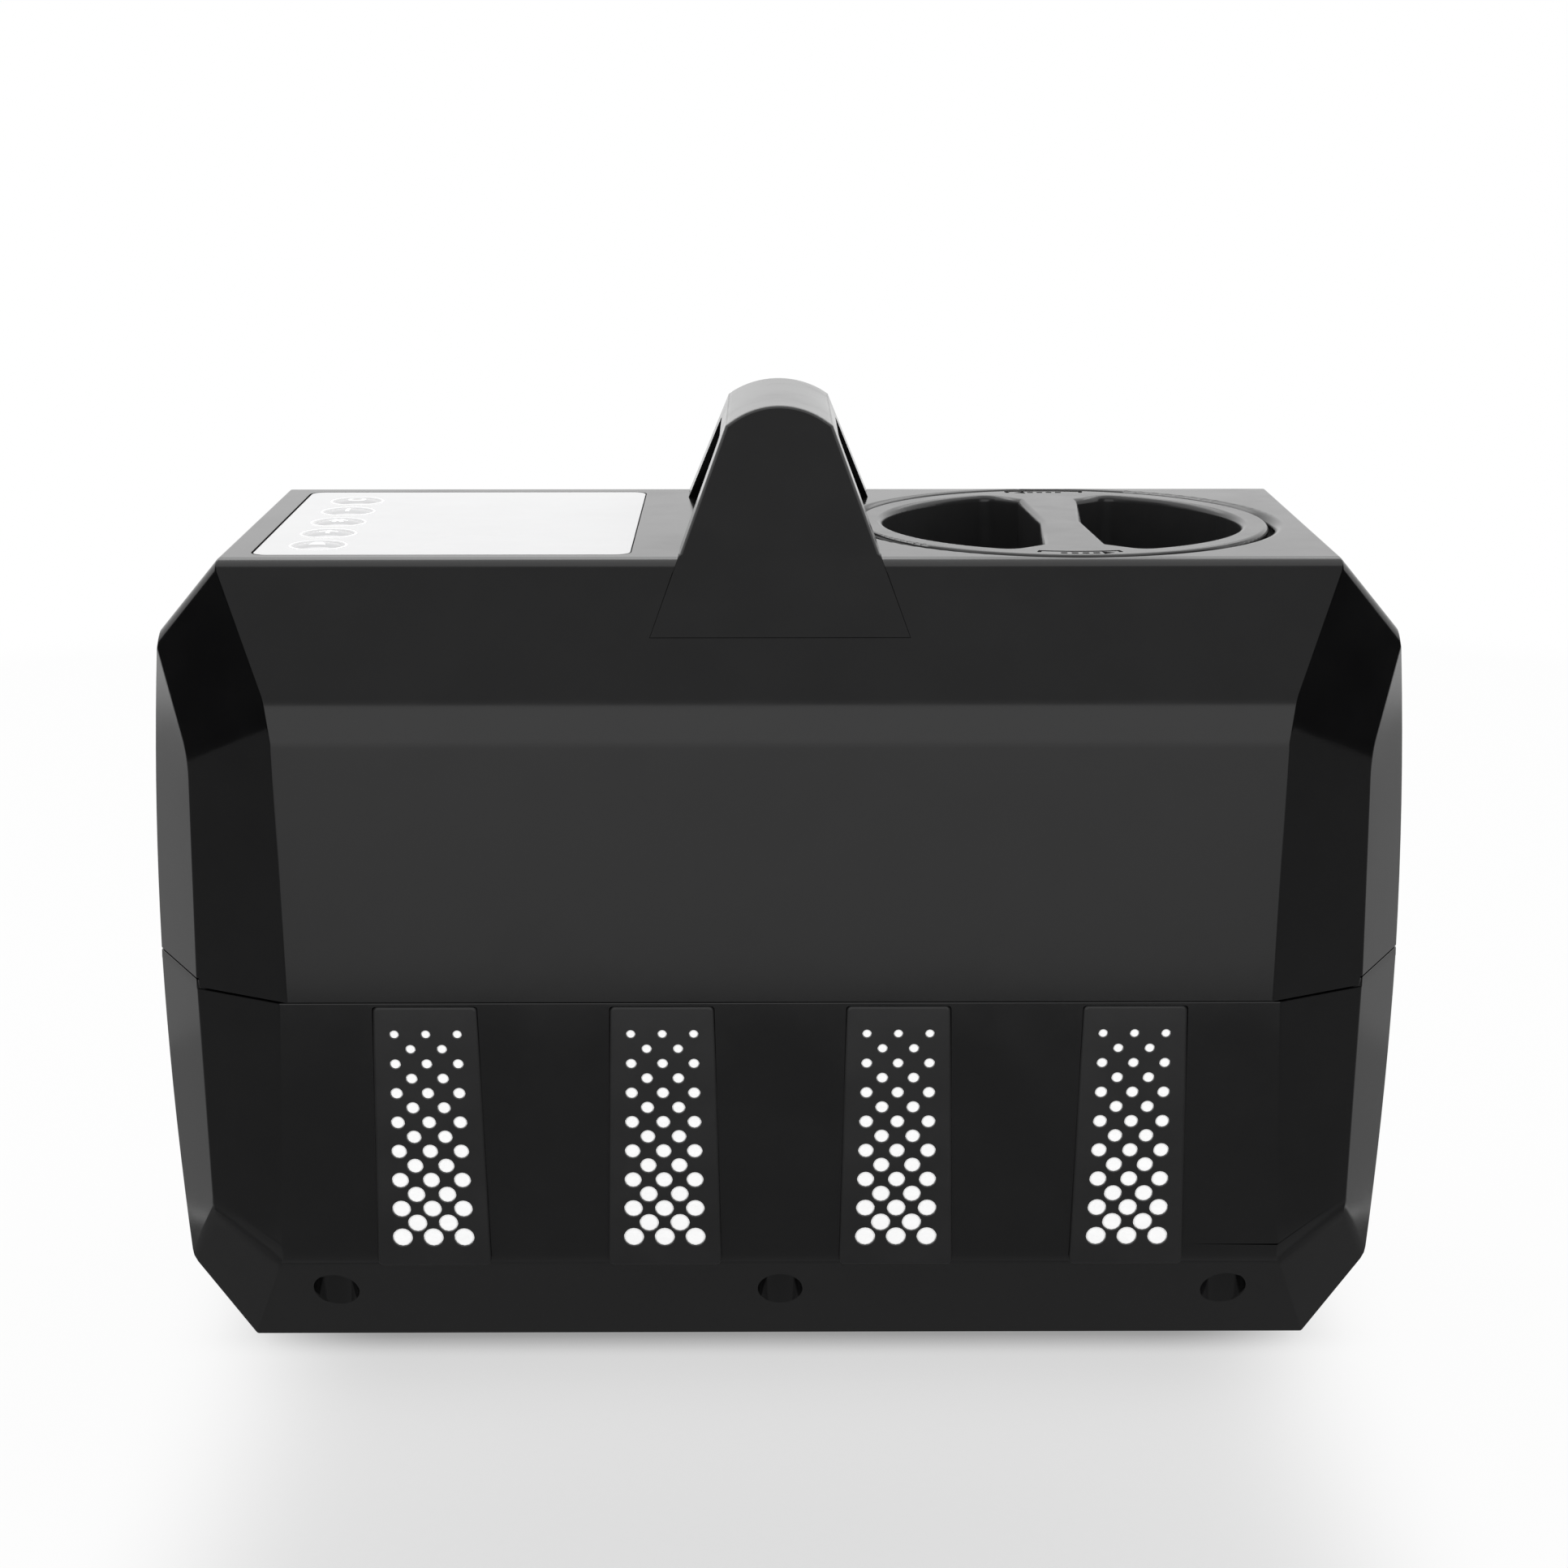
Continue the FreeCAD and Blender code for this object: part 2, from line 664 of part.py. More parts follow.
def board_corners():
    half_x = PANEL_LENGTH / 2 - BOARD_INSET - BOARD_BOSS_R
    half_y = PANEL_WIDTH / 2 - BOARD_INSET - BOARD_BOSS_R
    return [(PANEL_X + sx * half_x, PANEL_Y + sy * half_y) for sx in (-1, 1) for sy in (-1, 1)]


def groove_r():
    return LID_R + LID_GROOVE


# ---- the two shells ------------------------------------------------------------------------------
def upper_housing():
    shell = form_upper(0).cut(form_upper(WALL)).common(above(PARTING))
    shell = shell.cut(step_zone(PARTING - 1, PARTING + SIDE_PARTING_STEP))
    pad = handle_slab(HANDLE_TONGUE_T, HANDLE_TONGUE_T + HANDLE_PAD_T,
                      DECK - HANDLE_FOOT_DROP - HANDLE_PAD_T, DECK - HANDLE_PAD_T / 2,
                      HANDLE_FOOT_HALF + HANDLE_PAD_T)
    cheeks = handle_slab(WALL / 2, HANDLE_TONGUE_T + HANDLE_PAD_T,
                         DECK - HANDLE_FOOT_DROP - HANDLE_PAD_T, DECK - WALL / 2,
                         HANDLE_FOOT_HALF + HANDLE_PAD_T)
    frame_half_x, frame_half_y = PANEL_LENGTH / 2 + PANEL_FRAME_T, PANEL_WIDTH / 2 + PANEL_FRAME_T
    frame = rounded_box(PANEL_X - frame_half_x, PANEL_X + frame_half_x, PANEL_Y - frame_half_y,
                        PANEL_Y + frame_half_y, DECK - WALL - PANEL_FRAME_T, DECK - WALL, PANEL_CORNER_R)
    board_bosses = [cylinder(BOARD_BOSS_R, DECK - BOARD_DROP, DECK - WALL, x, y) for x, y in board_corners()]
    skirt = ring(groove_r(), groove_r() + SKIRT_T, collar_bottom() + TANK_SEAL_T, DECK - WALL / 2, LID_X)
    shell = union([shell, pad, cheeks, frame, skirt] + board_bosses + [case_boss(x, y) for x, y in screw_wells()])
    shell = shell.cut([handle_pocket(), panel_pocket(), lid_recess()])
    holes = [cylinder(HANDLE_SCREW_R + SCREW_FIT, DECK - FAR / 8, DECK + 1, x, y) for x, y in screw_marks()]
    return shell.cut(holes).removeSplitter()


def handle_pocket():
    """Room for the handle's let-in feet."""
    slab = handle_slab(-WALL, HANDLE_TONGUE_T + HANDLE_FIT, DECK - HANDLE_FOOT_DROP - WALL, DECK + 1, FAR)
    return slab.common(handle_outline(HANDLE_FIT))


def panel_pocket():
    """Seat of the fascia with the window behind it."""
    half_x, half_y = PANEL_LENGTH / 2, PANEL_WIDTH / 2
    seat = rounded_box(PANEL_X - half_x, PANEL_X + half_x, PANEL_Y - half_y, PANEL_Y + half_y,
                       DECK - PANEL_T, DECK + 1, PANEL_CORNER_R)
    inner_x, inner_y = half_x - PANEL_LEDGE, half_y - PANEL_LEDGE
    window = rounded_box(PANEL_X - inner_x, PANEL_X + inner_x, PANEL_Y - inner_y, PANEL_Y + inner_y,
                         DECK - WALL - PANEL_FRAME_T - 1, DECK, PANEL_CORNER_R)
    corner_seats = [cylinder(BOARD_BOSS_R, DECK - BOARD_DROP, DECK - PANEL_T, x, y) for x, y in board_corners()]
    return seat.fuse(window.cut(corner_seats))


def lid_recess():
    """Opening for the lid, with a rounded lip in the deck."""
    r = groove_r()
    hole = cylinder(r, DECK - FAR / 4, DECK + 1, LID_X)
    centre = Vector(r + RIM_ROUND, 0, DECK - RIM_ROUND)
    turn = RIM_ROUND * math.sqrt(0.5)
    start, end = Vector(r, 0, DECK - RIM_ROUND), Vector(r + RIM_ROUND, 0, DECK)
    lip = Part.Arc(start, Vector(centre.x - turn, 0, centre.z + turn), end).toShape()
    corner = Vector(r, 0, DECK)
    wire = Part.Wire([lip, Part.LineSegment(end, corner).toShape(), Part.LineSegment(corner, start).toShape()])
    rounding = Part.Face(wire).revolve(Vector(0, 0, 0), Vector(0, 0, 1), 360)
    rounding.translate(Vector(LID_X, 0, 0))
    return hole.fuse(rounding)


def case_boss(x, y):
    """Screw boss in the upper shell with a rib to the wall."""
    boss = cylinder(BOSS_R, PARTING, PARTING + BOSS_UP, x, y)
    side = 1 if y > 0 else -1
    reach = face_y(PARTING) - WALL / 2
    rib = slab_x([(side * abs(y), PARTING), (side * reach, PARTING), (side * reach, PARTING + 2 * BOSS_UP),
                  (side * abs(y), PARTING + BOSS_UP)], x - RIB_T / 2, x + RIB_T / 2)
    pilot = cylinder(CASE_SCREW_R, PARTING, PARTING + BOSS_UP - WALL / 2, x, y)
    return boss.fuse(rib).cut(pilot)


def tongue_ring():
    """Lip of the lower shell that stands inside the upper shell."""
    outer, inner = WALL + TONGUE_FIT, WALL + TONGUE_FIT + TONGUE_T
    upright = form_upper(outer).cut(form_upper(inner)).common(above(PARTING - SEAM_GAP))
    upright = upright.common(below(PARTING + TONGUE_UP))
    root = form_lower(WALL - 0.5).cut(form_lower(inner)).common(above(PARTING - TONGUE_DOWN))
    root = root.common(below(PARTING - SEAM_GAP))
    slots = [box(x - BOSS_R, x + BOSS_R, -FAR, FAR, PARTING - SEAM_GAP, PARTING + 2 * TONGUE_UP)
             for x in (-WELL_X, 0.0, WELL_X)]
    return upright.cut(slots).fuse(root)


def lower_housing():
    shell = form_lower(0).cut(form_lower(WALL)).common(below(PARTING - SEAM_GAP))
    step = form_upper(0).cut(form_upper(WALL + TONGUE_FIT)).common(
        step_zone(PARTING - SEAM_GAP, PARTING + SIDE_PARTING_STEP - SEAM_GAP))
    tubes = [well_tube(x, y) for x, y in screw_wells()]
    shell = union([shell, step, tongue_ring()] + tubes + [rail(y) for y in cooler_rails()])
    wells = [cylinder(SCREW_WELL_R, BASE - 1, well_ceiling() - WELL_CEILING_T, x, y) for x, y in screw_wells()]
    shanks = [cylinder(CASE_SCREW_R + SCREW_FIT, PARTING - 3 * WELL_CEILING_T, PARTING, x, y)
              for x, y in screw_wells()]
    vents = [vent_shape(x, lambda z: vent_y(z) + WALL, lambda z: vent_y(z) - 4 * WALL, VENT_FIT)
             for x in vent_centres()]
    stems = [cylinder(FOOT_STEM_R + SCREW_FIT, BASE - 1, FLOOR + 1, x, y) for x, y in foot_places()]
    hose = socket_frame(SOCKET_FIT, panel_y(CREASE_Z) - 3 * WALL, FAR)
    inlet = cylinder_y(INLET_R + SOCKET_FIT, panel_y(CREASE_Z) - 3 * WALL, FAR, INLET_X, BASE + SOCKET_RISE)
    return shell.cut(wells + shanks + vents + stems + [hose, inlet]).removeSplitter()


def well_tube(x, y):
    """Screw well: a tube from the undercut up to its ceiling."""
    tube = cylinder(SCREW_WELL_R + WELL_TUBE_T, BASE, well_ceiling(), x, y)
    return tube.common(form_lower(WALL / 2))


def foot_places():
    return [(sx * FOOT_X, sy * FOOT_Y) for sx in (-1, 1) for sy in (-1, 1)]


def cooler_rails():
    """Middle lines of the two rails under the cooler bracket."""
    return (-BASE_HALF_Y + 2 * WALL + RIB_T, -RIB_T * 4)


def rail(y):
    half = FAN_SIZE / 2
    return box(COOLER_X - half, COOLER_X + half, y - RIB_T / 2, y + RIB_T / 2, FLOOR - WALL / 2, FLOOR + RIB_T)


# ---- handle --------------------------------------------------------------------------------------
def carry_handle():
    arch = handle_outline(0)
    low = DECK - HANDLE_FOOT_DROP
    high = DECK + HANDLE_RISE + 1
    outside = slab_x([(-slope_y(low), low), (slope_y(low), low), (slope_y(high), high), (-slope_y(high), high)],
                     -FAR, FAR)
    leg = HANDLE_LEG_T / math.cos(math.radians(TOP_LEAN))
    top = DECK + HANDLE_GRIP_RISE
    corners = [(-(slope_y(DECK) - leg), DECK - 1e-3, 0), (slope_y(DECK) - leg, DECK - 1e-3, 0),
               (slope_y(top) - leg, top, HANDLE_GRIP_R), (-(slope_y(top) - leg), top, HANDLE_GRIP_R)]
    grip = prism(outline([(Vector(-FAR / 2, y, z), r) for y, z, r in corners]), Vector(FAR, 0, 0))
    tongue = HANDLE_TONGUE_T / math.cos(math.radians(TOP_LEAN))
    under = slab_x([(-(slope_y(low - 1) - tongue), low - 1), (slope_y(low - 1) - tongue, low - 1),
                    (slope_y(DECK) - tongue, DECK), (-(slope_y(DECK) - tongue), DECK)], -FAR, FAR)
    handle = arch.common(outside).cut([grip, under])
    pilots = [cylinder(HANDLE_SCREW_R, DECK - 1, DECK + HANDLE_SCREW_LENGTH, x, y) for x, y in screw_marks()]
    return handle.cut(pilots).removeSplitter()


def handle_screws():
    """Four screws up through the deck into the legs."""
    head = DECK - WALL - 2.5
    return [cylinder(HANDLE_SCREW_R * 1.8, head, DECK - WALL, x, y).fuse(
        cylinder(HANDLE_SCREW_R, DECK - WALL, DECK + HANDLE_SCREW_LENGTH - 1, x, y)) for x, y in screw_marks()]


# ---- display -------------------------------------------------------------------------------------
def display_panel():
    half_x, half_y = PANEL_LENGTH / 2 - PANEL_FIT, PANEL_WIDTH / 2 - PANEL_FIT
    panel = rounded_box(PANEL_X - half_x, PANEL_X + half_x, PANEL_Y - half_y, PANEL_Y + half_y,
                        DECK - PANEL_T, DECK, PANEL_CORNER_R - PANEL_FIT)
    return panel.cut([cylinder(BUTTON_R + BUTTON_FIT, DECK - PANEL_T - 1, DECK + 1, x, y)
                      for x, y in button_places()])


def button(x, y):
    """Domed cap with a flange under the fascia and a stem over its switch."""
    under = DECK - PANEL_T
    centre = DECK - BUTTON_RIM_DROP - math.sqrt(BUTTON_DOME_R ** 2 - BUTTON_R ** 2)
    dome = Part.makeSphere(BUTTON_DOME_R, Vector(x, y, centre))
    cap = cylinder(BUTTON_R, under - SEAT_GAP, centre + BUTTON_DOME_R, x, y).common(dome)
    flange = cylinder(BUTTON_R + BUTTON_FLANGE, under - SEAT_GAP - BUTTON_FLANGE, under - SEAT_GAP, x, y)
    stem = cylinder(BUTTON_STEM_R, switch_top() + BUTTON_TRAVEL + SEAT_GAP, under - SEAT_GAP, x, y)
    return union([cap, flange, stem])


def switch_top():
    return DECK - BOARD_DROP + SWITCH_SIZE / 2


def board_outline(z, margin):
    half_x = PANEL_LENGTH / 2 - margin
    half_y = PANEL_WIDTH / 2 - margin
    return box(PANEL_X - half_x, PANEL_X + half_x, PANEL_Y - half_y, PANEL_Y + half_y, z, z + BOARD_T)


def display_board():
    """Board with the screen and one switch under each button."""
    top = DECK - BOARD_DROP
    board = board_outline(top - BOARD_T, BOARD_INSET)
    half = SWITCH_SIZE / 2
    switches = [box(x - half, x + half, y - half, y + half, top, switch_top()) for x, y in button_places()]
    x0 = button_x() + BUTTON_R + BUTTON_FLANGE + SWITCH_SIZE
    y0 = PANEL_Y - SCREEN_WIDTH / 2
    screen = box(x0, x0 + SCREEN_LENGTH, y0, y0 + SCREEN_WIDTH, top, DECK - PANEL_T - SEAT_GAP)
    return union([board, screen] + switches)


def control_level():
    return DECK - BOARD_DROP - BOARD_T - SPACER_LENGTH - BOARD_T


def control_board():
    """Lower board with capacitors, relays and connectors hanging under it."""
    z = control_level()
    board = board_outline(z, BOARD_INSET)
    parts = [cylinder(CAPACITOR_R, z - CONTROL_PART_H, z, PANEL_X + CAPACITOR_PITCH * i, PANEL_Y + CAPACITOR_Y)
             for i in (-1, 0, 1)]
    parts += [centred_box(PANEL_X + RELAY_PITCH * i, PANEL_Y + RELAY_Y, RELAY_LENGTH, RELAY_WIDTH,
                          z - CONTROL_PART_H, z) for i in (-1, 0, 1)]
    parts.append(centred_box(PANEL_X, PANEL_Y, CHIP_SIZE, CHIP_SIZE, z - CHIP_T, z))
    return union([board] + parts)


def board_spacers():
    top = DECK - BOARD_DROP - BOARD_T
    return [cylinder(BOARD_BOSS_R, top - SPACER_LENGTH, top, x, y) for x, y in board_corners()]


def display_ribbon():
    """Flat cable folded between the two boards."""
    x0, x1 = PANEL_X - RIBBON_WIDTH / 2, PANEL_X + RIBBON_WIDTH / 2
    y0 = PANEL_Y - PANEL_WIDTH / 2 + BOARD_INSET + RIBBON_IN
    y1 = y0 + RIBBON_FOLD
    top = DECK - BOARD_DROP - BOARD_T
    low = control_level() + BOARD_T
    folds = [box(x0, x1, y0, y1, top - RIBBON_T, top), box(x0, x1, y0, y1, low, low + RIBBON_T)]
    return union([box(x0, x1, y0, y0 + RIBBON_T, low, top)] + folds)


# ---- lid and collar ------------------------------------------------------------------------------
def gasket_top():
    return DECK - LID_RIM_T


def collar_top():
    return gasket_top() - GASKET_T


def collar_bottom():
    return collar_top() - COLLAR_H


def plug_bottom():
    return DECK - WELL_DEPTH - WELL_FLOOR_T


def lug_level():
    return collar_bottom() + WALL


def sector(r_in, r_out, z0, z1, start, sweep):
    """Part of a ring about the lid's axis, from start over sweep degrees."""
    face = Part.Face(Part.Wire(Part.makePolygon([Vector(r_in, 0, z0), Vector(r_out, 0, z0), Vector(r_out, 0, z1),
                                                 Vector(r_in, 0, z1), Vector(r_in, 0, z0)])))
    body = face.revolve(Vector(0, 0, 0), Vector(0, 0, 1), sweep)
    body.rotate(Vector(0, 0, 0), Vector(0, 0, 1), start)
    body.translate(Vector(LID_X, 0, 0))
    return body


def finger_well(side):
    """One D-shaped well beside the bow-tie bridge; side is +1 or -1."""
    z0, z1 = DECK - WELL_DEPTH, DECK + 1
    disc = cylinder(WELL_R, z0, z1, LID_X)
    half = BRIDGE_LENGTH / 2
    far_y = half + FAR / 3 * slope(WELL_CORNER)
    keep = [(BRIDGE_WAIST, 0), (BRIDGE_END, half), (BRIDGE_END + FAR / 3, far_y),
            (BRIDGE_END + FAR / 3, -far_y), (BRIDGE_END, -half)]
    wire = outline([(Vector(LID_X + side * x, y, z0), 0) for x, y in keep])
    well = disc.common(prism(wire, Vector(0, 0, z1 - z0)))
    upright = [edge for edge in well.Edges
               if all(abs(math.hypot(v.X - LID_X, v.Y) - WELL_R) < 1e-4 for v in edge.Vertexes)
               and abs(edge.Length - (z1 - z0)) < 1e-4]
    well = well.makeFillet(WELL_SIDE_R, upright)
    floor_edges = [edge for edge in well.Edges
                   if all(abs(vertex.Z - z0) < 1e-4 for vertex in edge.Vertexes) and edge.Length > 1]
    return well.makeFillet(WELL_FLOOR_R, floor_edges)


def lid_cap():
    """Lid: rim disc and hollow plug with two finger wells and bayonet lugs."""
    rim = cylinder(LID_R, DECK - LID_RIM_T, DECK, LID_X)
    rim = rim.makeFillet(LID_EDGE_R, [edge for edge in rim.Edges if edge.BoundBox.ZMin > DECK - 1e-4])
    plug = cylinder(PLUG_R, plug_bottom(), DECK - LID_RIM_T, LID_X)
    start = -LUG_ANGLE / 2
    lugs = [sector(PLUG_R - 1, PLUG_R + LUG_REACH, lug_level(), lug_level() + LUG_HEIGHT,
                   start + i * 360 / LUG_COUNT, LUG_ANGLE) for i in range(LUG_COUNT)]
    cap = union([rim, plug] + lugs).cut([finger_well(1), finger_well(-1)])
    lips = [edge for edge in cap.Edges if edge.BoundBox.ZMin > DECK - 1e-4
            and max(math.hypot(v.X - LID_X, v.Y) for v in edge.Vertexes) < WELL_R + 1]
    return cap.makeFillet(WELL_LIP_R, lips)


def lid_base():
    """Underside cover, clear of the collar's bore."""
    return cylinder(PLUG_R, plug_bottom() - LID_BASE_T, plug_bottom(), LID_X)


def lid_gasket():
    return ring(PLUG_R + SEAT_GAP, LID_R - 1, collar_top() + 0.1, gasket_top() - 0.1, LID_X)


def tank_collar():
    """Bayonet ring: entry slots open upwards, then a clockwise turn under the ledge."""
    bore = PLUG_R + PLUG_FIT
    body = ring(bore, groove_r() - SEAT_GAP, collar_bottom(), collar_top(), LID_X)
    reach = PLUG_R + LUG_REACH + PLUG_FIT
    z0, z1 = lug_level() - PLUG_FIT, lug_level() + LUG_HEIGHT + PLUG_FIT
    cuts = []
    for i in range(LUG_COUNT):
        start = i * 360 / LUG_COUNT - LUG_ANGLE / 2 - LUG_SLACK
        cuts.append(sector(bore - 1, reach, z0, collar_top() + 1, start, LUG_ANGLE + 2 * LUG_SLACK))
        cuts.append(sector(bore - 1, reach, z0, z1, start - LID_TURN, LUG_ANGLE + 2 * LUG_SLACK + LID_TURN))
    return body.cut(cuts)


def tank_block(grow, z0, z1):
    return rounded_box(LID_X - TANK_HALF_X - grow, LID_X + TANK_HALF_X + grow, -TANK_HALF_Y - grow,
                       TANK_HALF_Y + grow, z0, z1, TANK_CORNER_R + grow)


def tank_bottom():
    return BASE + TANK_FLOOR_RISE


def flange_r():
    """Round shoulder on the tank's top that the case's skirt seals on."""
    return groove_r() + SKIRT_T + SEAT_GAP


def reservoir_tank():
    """Open-necked tank with a suction outlet low down and a return inlet high up."""
    top = collar_bottom()
    body = tank_block(0, tank_bottom(), top).fuse(cylinder(flange_r(), top - TANK_WALL, top, LID_X))
    body = body.cut(tank_block(-TANK_WALL, tank_bottom() + TANK_WALL, top - TANK_WALL))
    body = body.cut(cylinder(PLUG_R + PLUG_FIT, top - 2 * TANK_WALL, top + 1, LID_X))
    for y, z in (suction_place(), return_place()):
        body = body.fuse(cylinder_x(PORT_R, tank_side() - PORT_LENGTH, tank_side() + TANK_WALL / 2, y, z))
    for y, z in (suction_place(), return_place()):
        body = body.cut(cylinder_x(PORT_R - TUBE_WALL, tank_side() - FAR / 8, tank_side() + 2 * TANK_WALL, y, z))
    return body.cut(probe_hole(0.1)).removeSplitter()


def tank_side():
    return LID_X - TANK_HALF_X


def suction_place():
    return PUMP_Y, BASE + PUMP_RISE


def return_place():
    return PUMP_Y + PORT_SPREAD, PARTING + BOSS_UP + 2 * PORT_LENGTH


def probe_hole(grow):
    y = PUMP_Y - 3 * PORT_SPREAD
    return cylinder_x(PORT_R / 2 + grow, tank_side() - PORT_LENGTH, tank_side() + 3 * TANK_WALL, y, BASE + PUMP_RISE)


def temperature_probe():
    y = PUMP_Y - 3 * PORT_SPREAD
    head = cylinder_x(PORT_R, tank_side() - PORT_LENGTH, tank_side(), y, BASE + PUMP_RISE)
    return head.fuse(probe_hole(0))


def tank_insulation():
    """Foam jacket with clearance for ports, probe and the nearest screw wells."""
    z0 = tank_bottom() - FOAM_T
    top = collar_bottom() - TANK_WALL - SEAT_GAP
    jacket = tank_block(FOAM_T, z0, top).cut(tank_block(0, tank_bottom(), DECK))
    probe_y = PUMP_Y - 3 * PORT_SPREAD
    clear = [cylinder_x(PORT_R + TUBE_WALL + SEAT_GAP, 0, LID_X, y, z)
             for y, z in (suction_place(), return_place(), (probe_y, BASE + PUMP_RISE))]
    clear += [cylinder(SCREW_WELL_R + WELL_TUBE_T + SEAT_GAP, BASE, PARTING + 2 * BOSS_UP, x, y)
              for x, y in screw_wells()]
    return jacket.cut(clear)


def tank_cradle():
    """Four rubber posts that carry the jacket and tank on the base."""
    reach_x, reach_y = TANK_HALF_X - 3 * TANK_FOOT_R, BASE_HALF_Y - 2 * TANK_FOOT_R
    return [cylinder(TANK_FOOT_R, FLOOR, tank_bottom() - FOAM_T, LID_X + sx * reach_x, sy * reach_y)
            for sx in (-1, 1) for sy in (-1, 1)]


def tank_seal():
    return ring(groove_r(), groove_r() + SKIRT_T, collar_bottom(), collar_bottom() + TANK_SEAL_T, LID_X)


# ---- vent strips ---------------------------------------------------------------------------------
def vent_grille(x):
    """Thin skin with rows of holes that grow downwards, in a deep rim with a flange behind the wall."""
    plate = vent_shape(x, vent_y, lambda z: vent_y(z) - VENT_T, 0)
    beyond = below(CREASE_Z + BAND_R).fuse(above(PARTING - TONGUE_DOWN - SEAT_GAP))
    flange = vent_shape(x, lambda z: flange_back_y(z) + VENT_FLANGE_T, flange_back_y, VENT_FLANGE).cut(beyond)
    room = vent_shape(x, lambda z: vent_y(z) - VENT_SKIN_T, lambda z: vent_y(z) - 4 * WALL, -VENT_RIM_T)
    top = vent_levels()[0]
    across = Vector(math.cos(math.radians(VENT_LEAN)), 0, 0)
    down = Vector(0, math.sin(math.radians(VENT_LEAN)), -math.cos(math.radians(VENT_LEAN)))
    out = Vector(0, -math.cos(math.radians(VENT_LEAN)), -math.sin(math.radians(VENT_LEAN)))
    start = Vector(x, -vent_y(top), top)
    holes = []
    for row in range(HOLE_ROWS):
        count = 3 - row % 2
        radius = (HOLE_SMALL + (HOLE_LARGE - HOLE_SMALL) * row / (HOLE_ROWS - 1)) / 2
        for i in range(count):
            offset = (i - (count - 1) / 2) * HOLE_PITCH
            centre = start + down * (FIRST_ROW + row * ROW_PITCH) + Vector(offset, 0, 0)
            holes.append(polygon_bore(centre + out * WALL, out * -2 * WALL, across, down, radius))
    return plate.fuse(flange).cut([room] + holes)


def flange_back_y(z):
    return panel_y(z) - WALL - VENT_SEAT - VENT_FLANGE_T


def polygon_bore(start, travel, across, down, radius):
    """Many-sided bore of the same area as a round one."""
    even = radius * math.sqrt(2 * math.pi / (HOLE_SIDES * math.sin(2 * math.pi / HOLE_SIDES)))
    points = []
    for i in range(HOLE_SIDES + 1):
        angle = 2 * math.pi * i / HOLE_SIDES
        points.append(start + across * (even * math.cos(angle)) + down * (even * math.sin(angle)))
    return Part.Face(Part.Wire(Part.makePolygon(points))).extrude(travel)


def vent_filter(x):
    """Pad inside the rim of one strip, against the back of its skin."""
    depth = VENT_SKIN_T + FILTER_FIT
    return vent_shape(x, lambda z: vent_y(z) - depth, lambda z: vent_y(z) - depth - FILTER_T,
                      -VENT_RIM_T - FILTER_FIT)


# ---- case screws and feet --------------------------------------------------------------------------
def base_screw(x, y):
    ceiling = well_ceiling() - WELL_CEILING_T
    head = cylinder(CASE_HEAD_R, ceiling - CASE_HEAD_H, ceiling, x, y)
    return head.fuse(cylinder(CASE_SCREW_R, ceiling, PARTING + CASE_SCREW_UP - 0.5, x, y))


def rubber_foot(x, y):
    pad = cylinder(FOOT_R, 0, FOOT_STAND, x, y)
    bottom = [edge for edge in pad.Edges if edge.BoundBox.ZMax < 1e-4]
    return pad.makeChamfer(FOOT_STAND / 4, bottom).fuse(cylinder(FOOT_STEM_R, FOOT_STAND, FLOOR + 0.8, x, y))


# ---- cooler --------------------------------------------------------------------------------------
def fan_face_y():
    return -(flange_back_y(CREASE_Z) - FAN_GAP)


def fan_centre_z():
    return BASE + FAN_RISE + FAN_SIZE / 2


def fan_frame():
    """Square frame with a round duct, four struts and the bearing boss."""
    half, z = FAN_SIZE / 2, fan_centre_z()
    y0, y1 = fan_face_y(), fan_face_y() + FAN_T
    frame = rounded_box_y(COOLER_X - half, COOLER_X + half, y0, y1, z - half, z + half, FAN_CORNER_R)
    frame = frame.cut(cylinder_y(FAN_BORE_R, y0 - 1, y1 + 1, COOLER_X, z))
    boss = cylinder_y(HUB_R, y1 - STRUT_W, y1, COOLER_X, z)
    strut = box(COOLER_X - STRUT_W / 2, COOLER_X + STRUT_W / 2, y1 - STRUT_W, y1, z, z + FAN_BORE_R + 1)
    struts = [turned(strut, 45 + 90 * i, Vector(COOLER_X, 0, z), Vector(0, 1, 0)) for i in range(4)]
    bore = cylinder_y(FAN_SHAFT_R + SHAFT_FIT, y0, y1 + 1, COOLER_X, z)
    return union([frame, boss] + struts).cut(bore)


def fan_rotor():
    """Hub with pitched blades, and the shaft that runs in the frame's boss."""
    z = fan_centre_z()
    y0, y1 = fan_face_y() + 1, fan_face_y() + FAN_T - STRUT_W - 1
    hub = cylinder_y(HUB_R, y0, y1, COOLER_X, z)
    shaft = cylinder_y(FAN_SHAFT_R, y1, fan_face_y() + FAN_T - SEAT_GAP, COOLER_X, z)
    middle = Vector(COOLER_X, (y0 + y1) / 2, z)
    chord = (y1 - y0) / math.cos(math.radians(BLADE_TWIST)) - BLADE_T
    blade = box(COOLER_X - BLADE_T / 2, COOLER_X + BLADE_T / 2, middle.y - chord / 2, middle.y + chord / 2,
                z + HUB_R - 2, z + FAN_BORE_R)
    blade = turned(blade, BLADE_TWIST, middle, Vector(0, 0, 1))
    blades = [turned(blade, 360 / BLADE_COUNT * i, middle, Vector(0, 1, 0)) for i in range(BLADE_COUNT)]
    tip = cylinder_y(FAN_BORE_R - BLADE_TIP_GAP, y0, y1, COOLER_X, z)
    return union([hub, shaft] + [blade.common(tip) for blade in blades])


def sink_back():
    return fan_face_y() + FAN_T + SINK_DEPTH


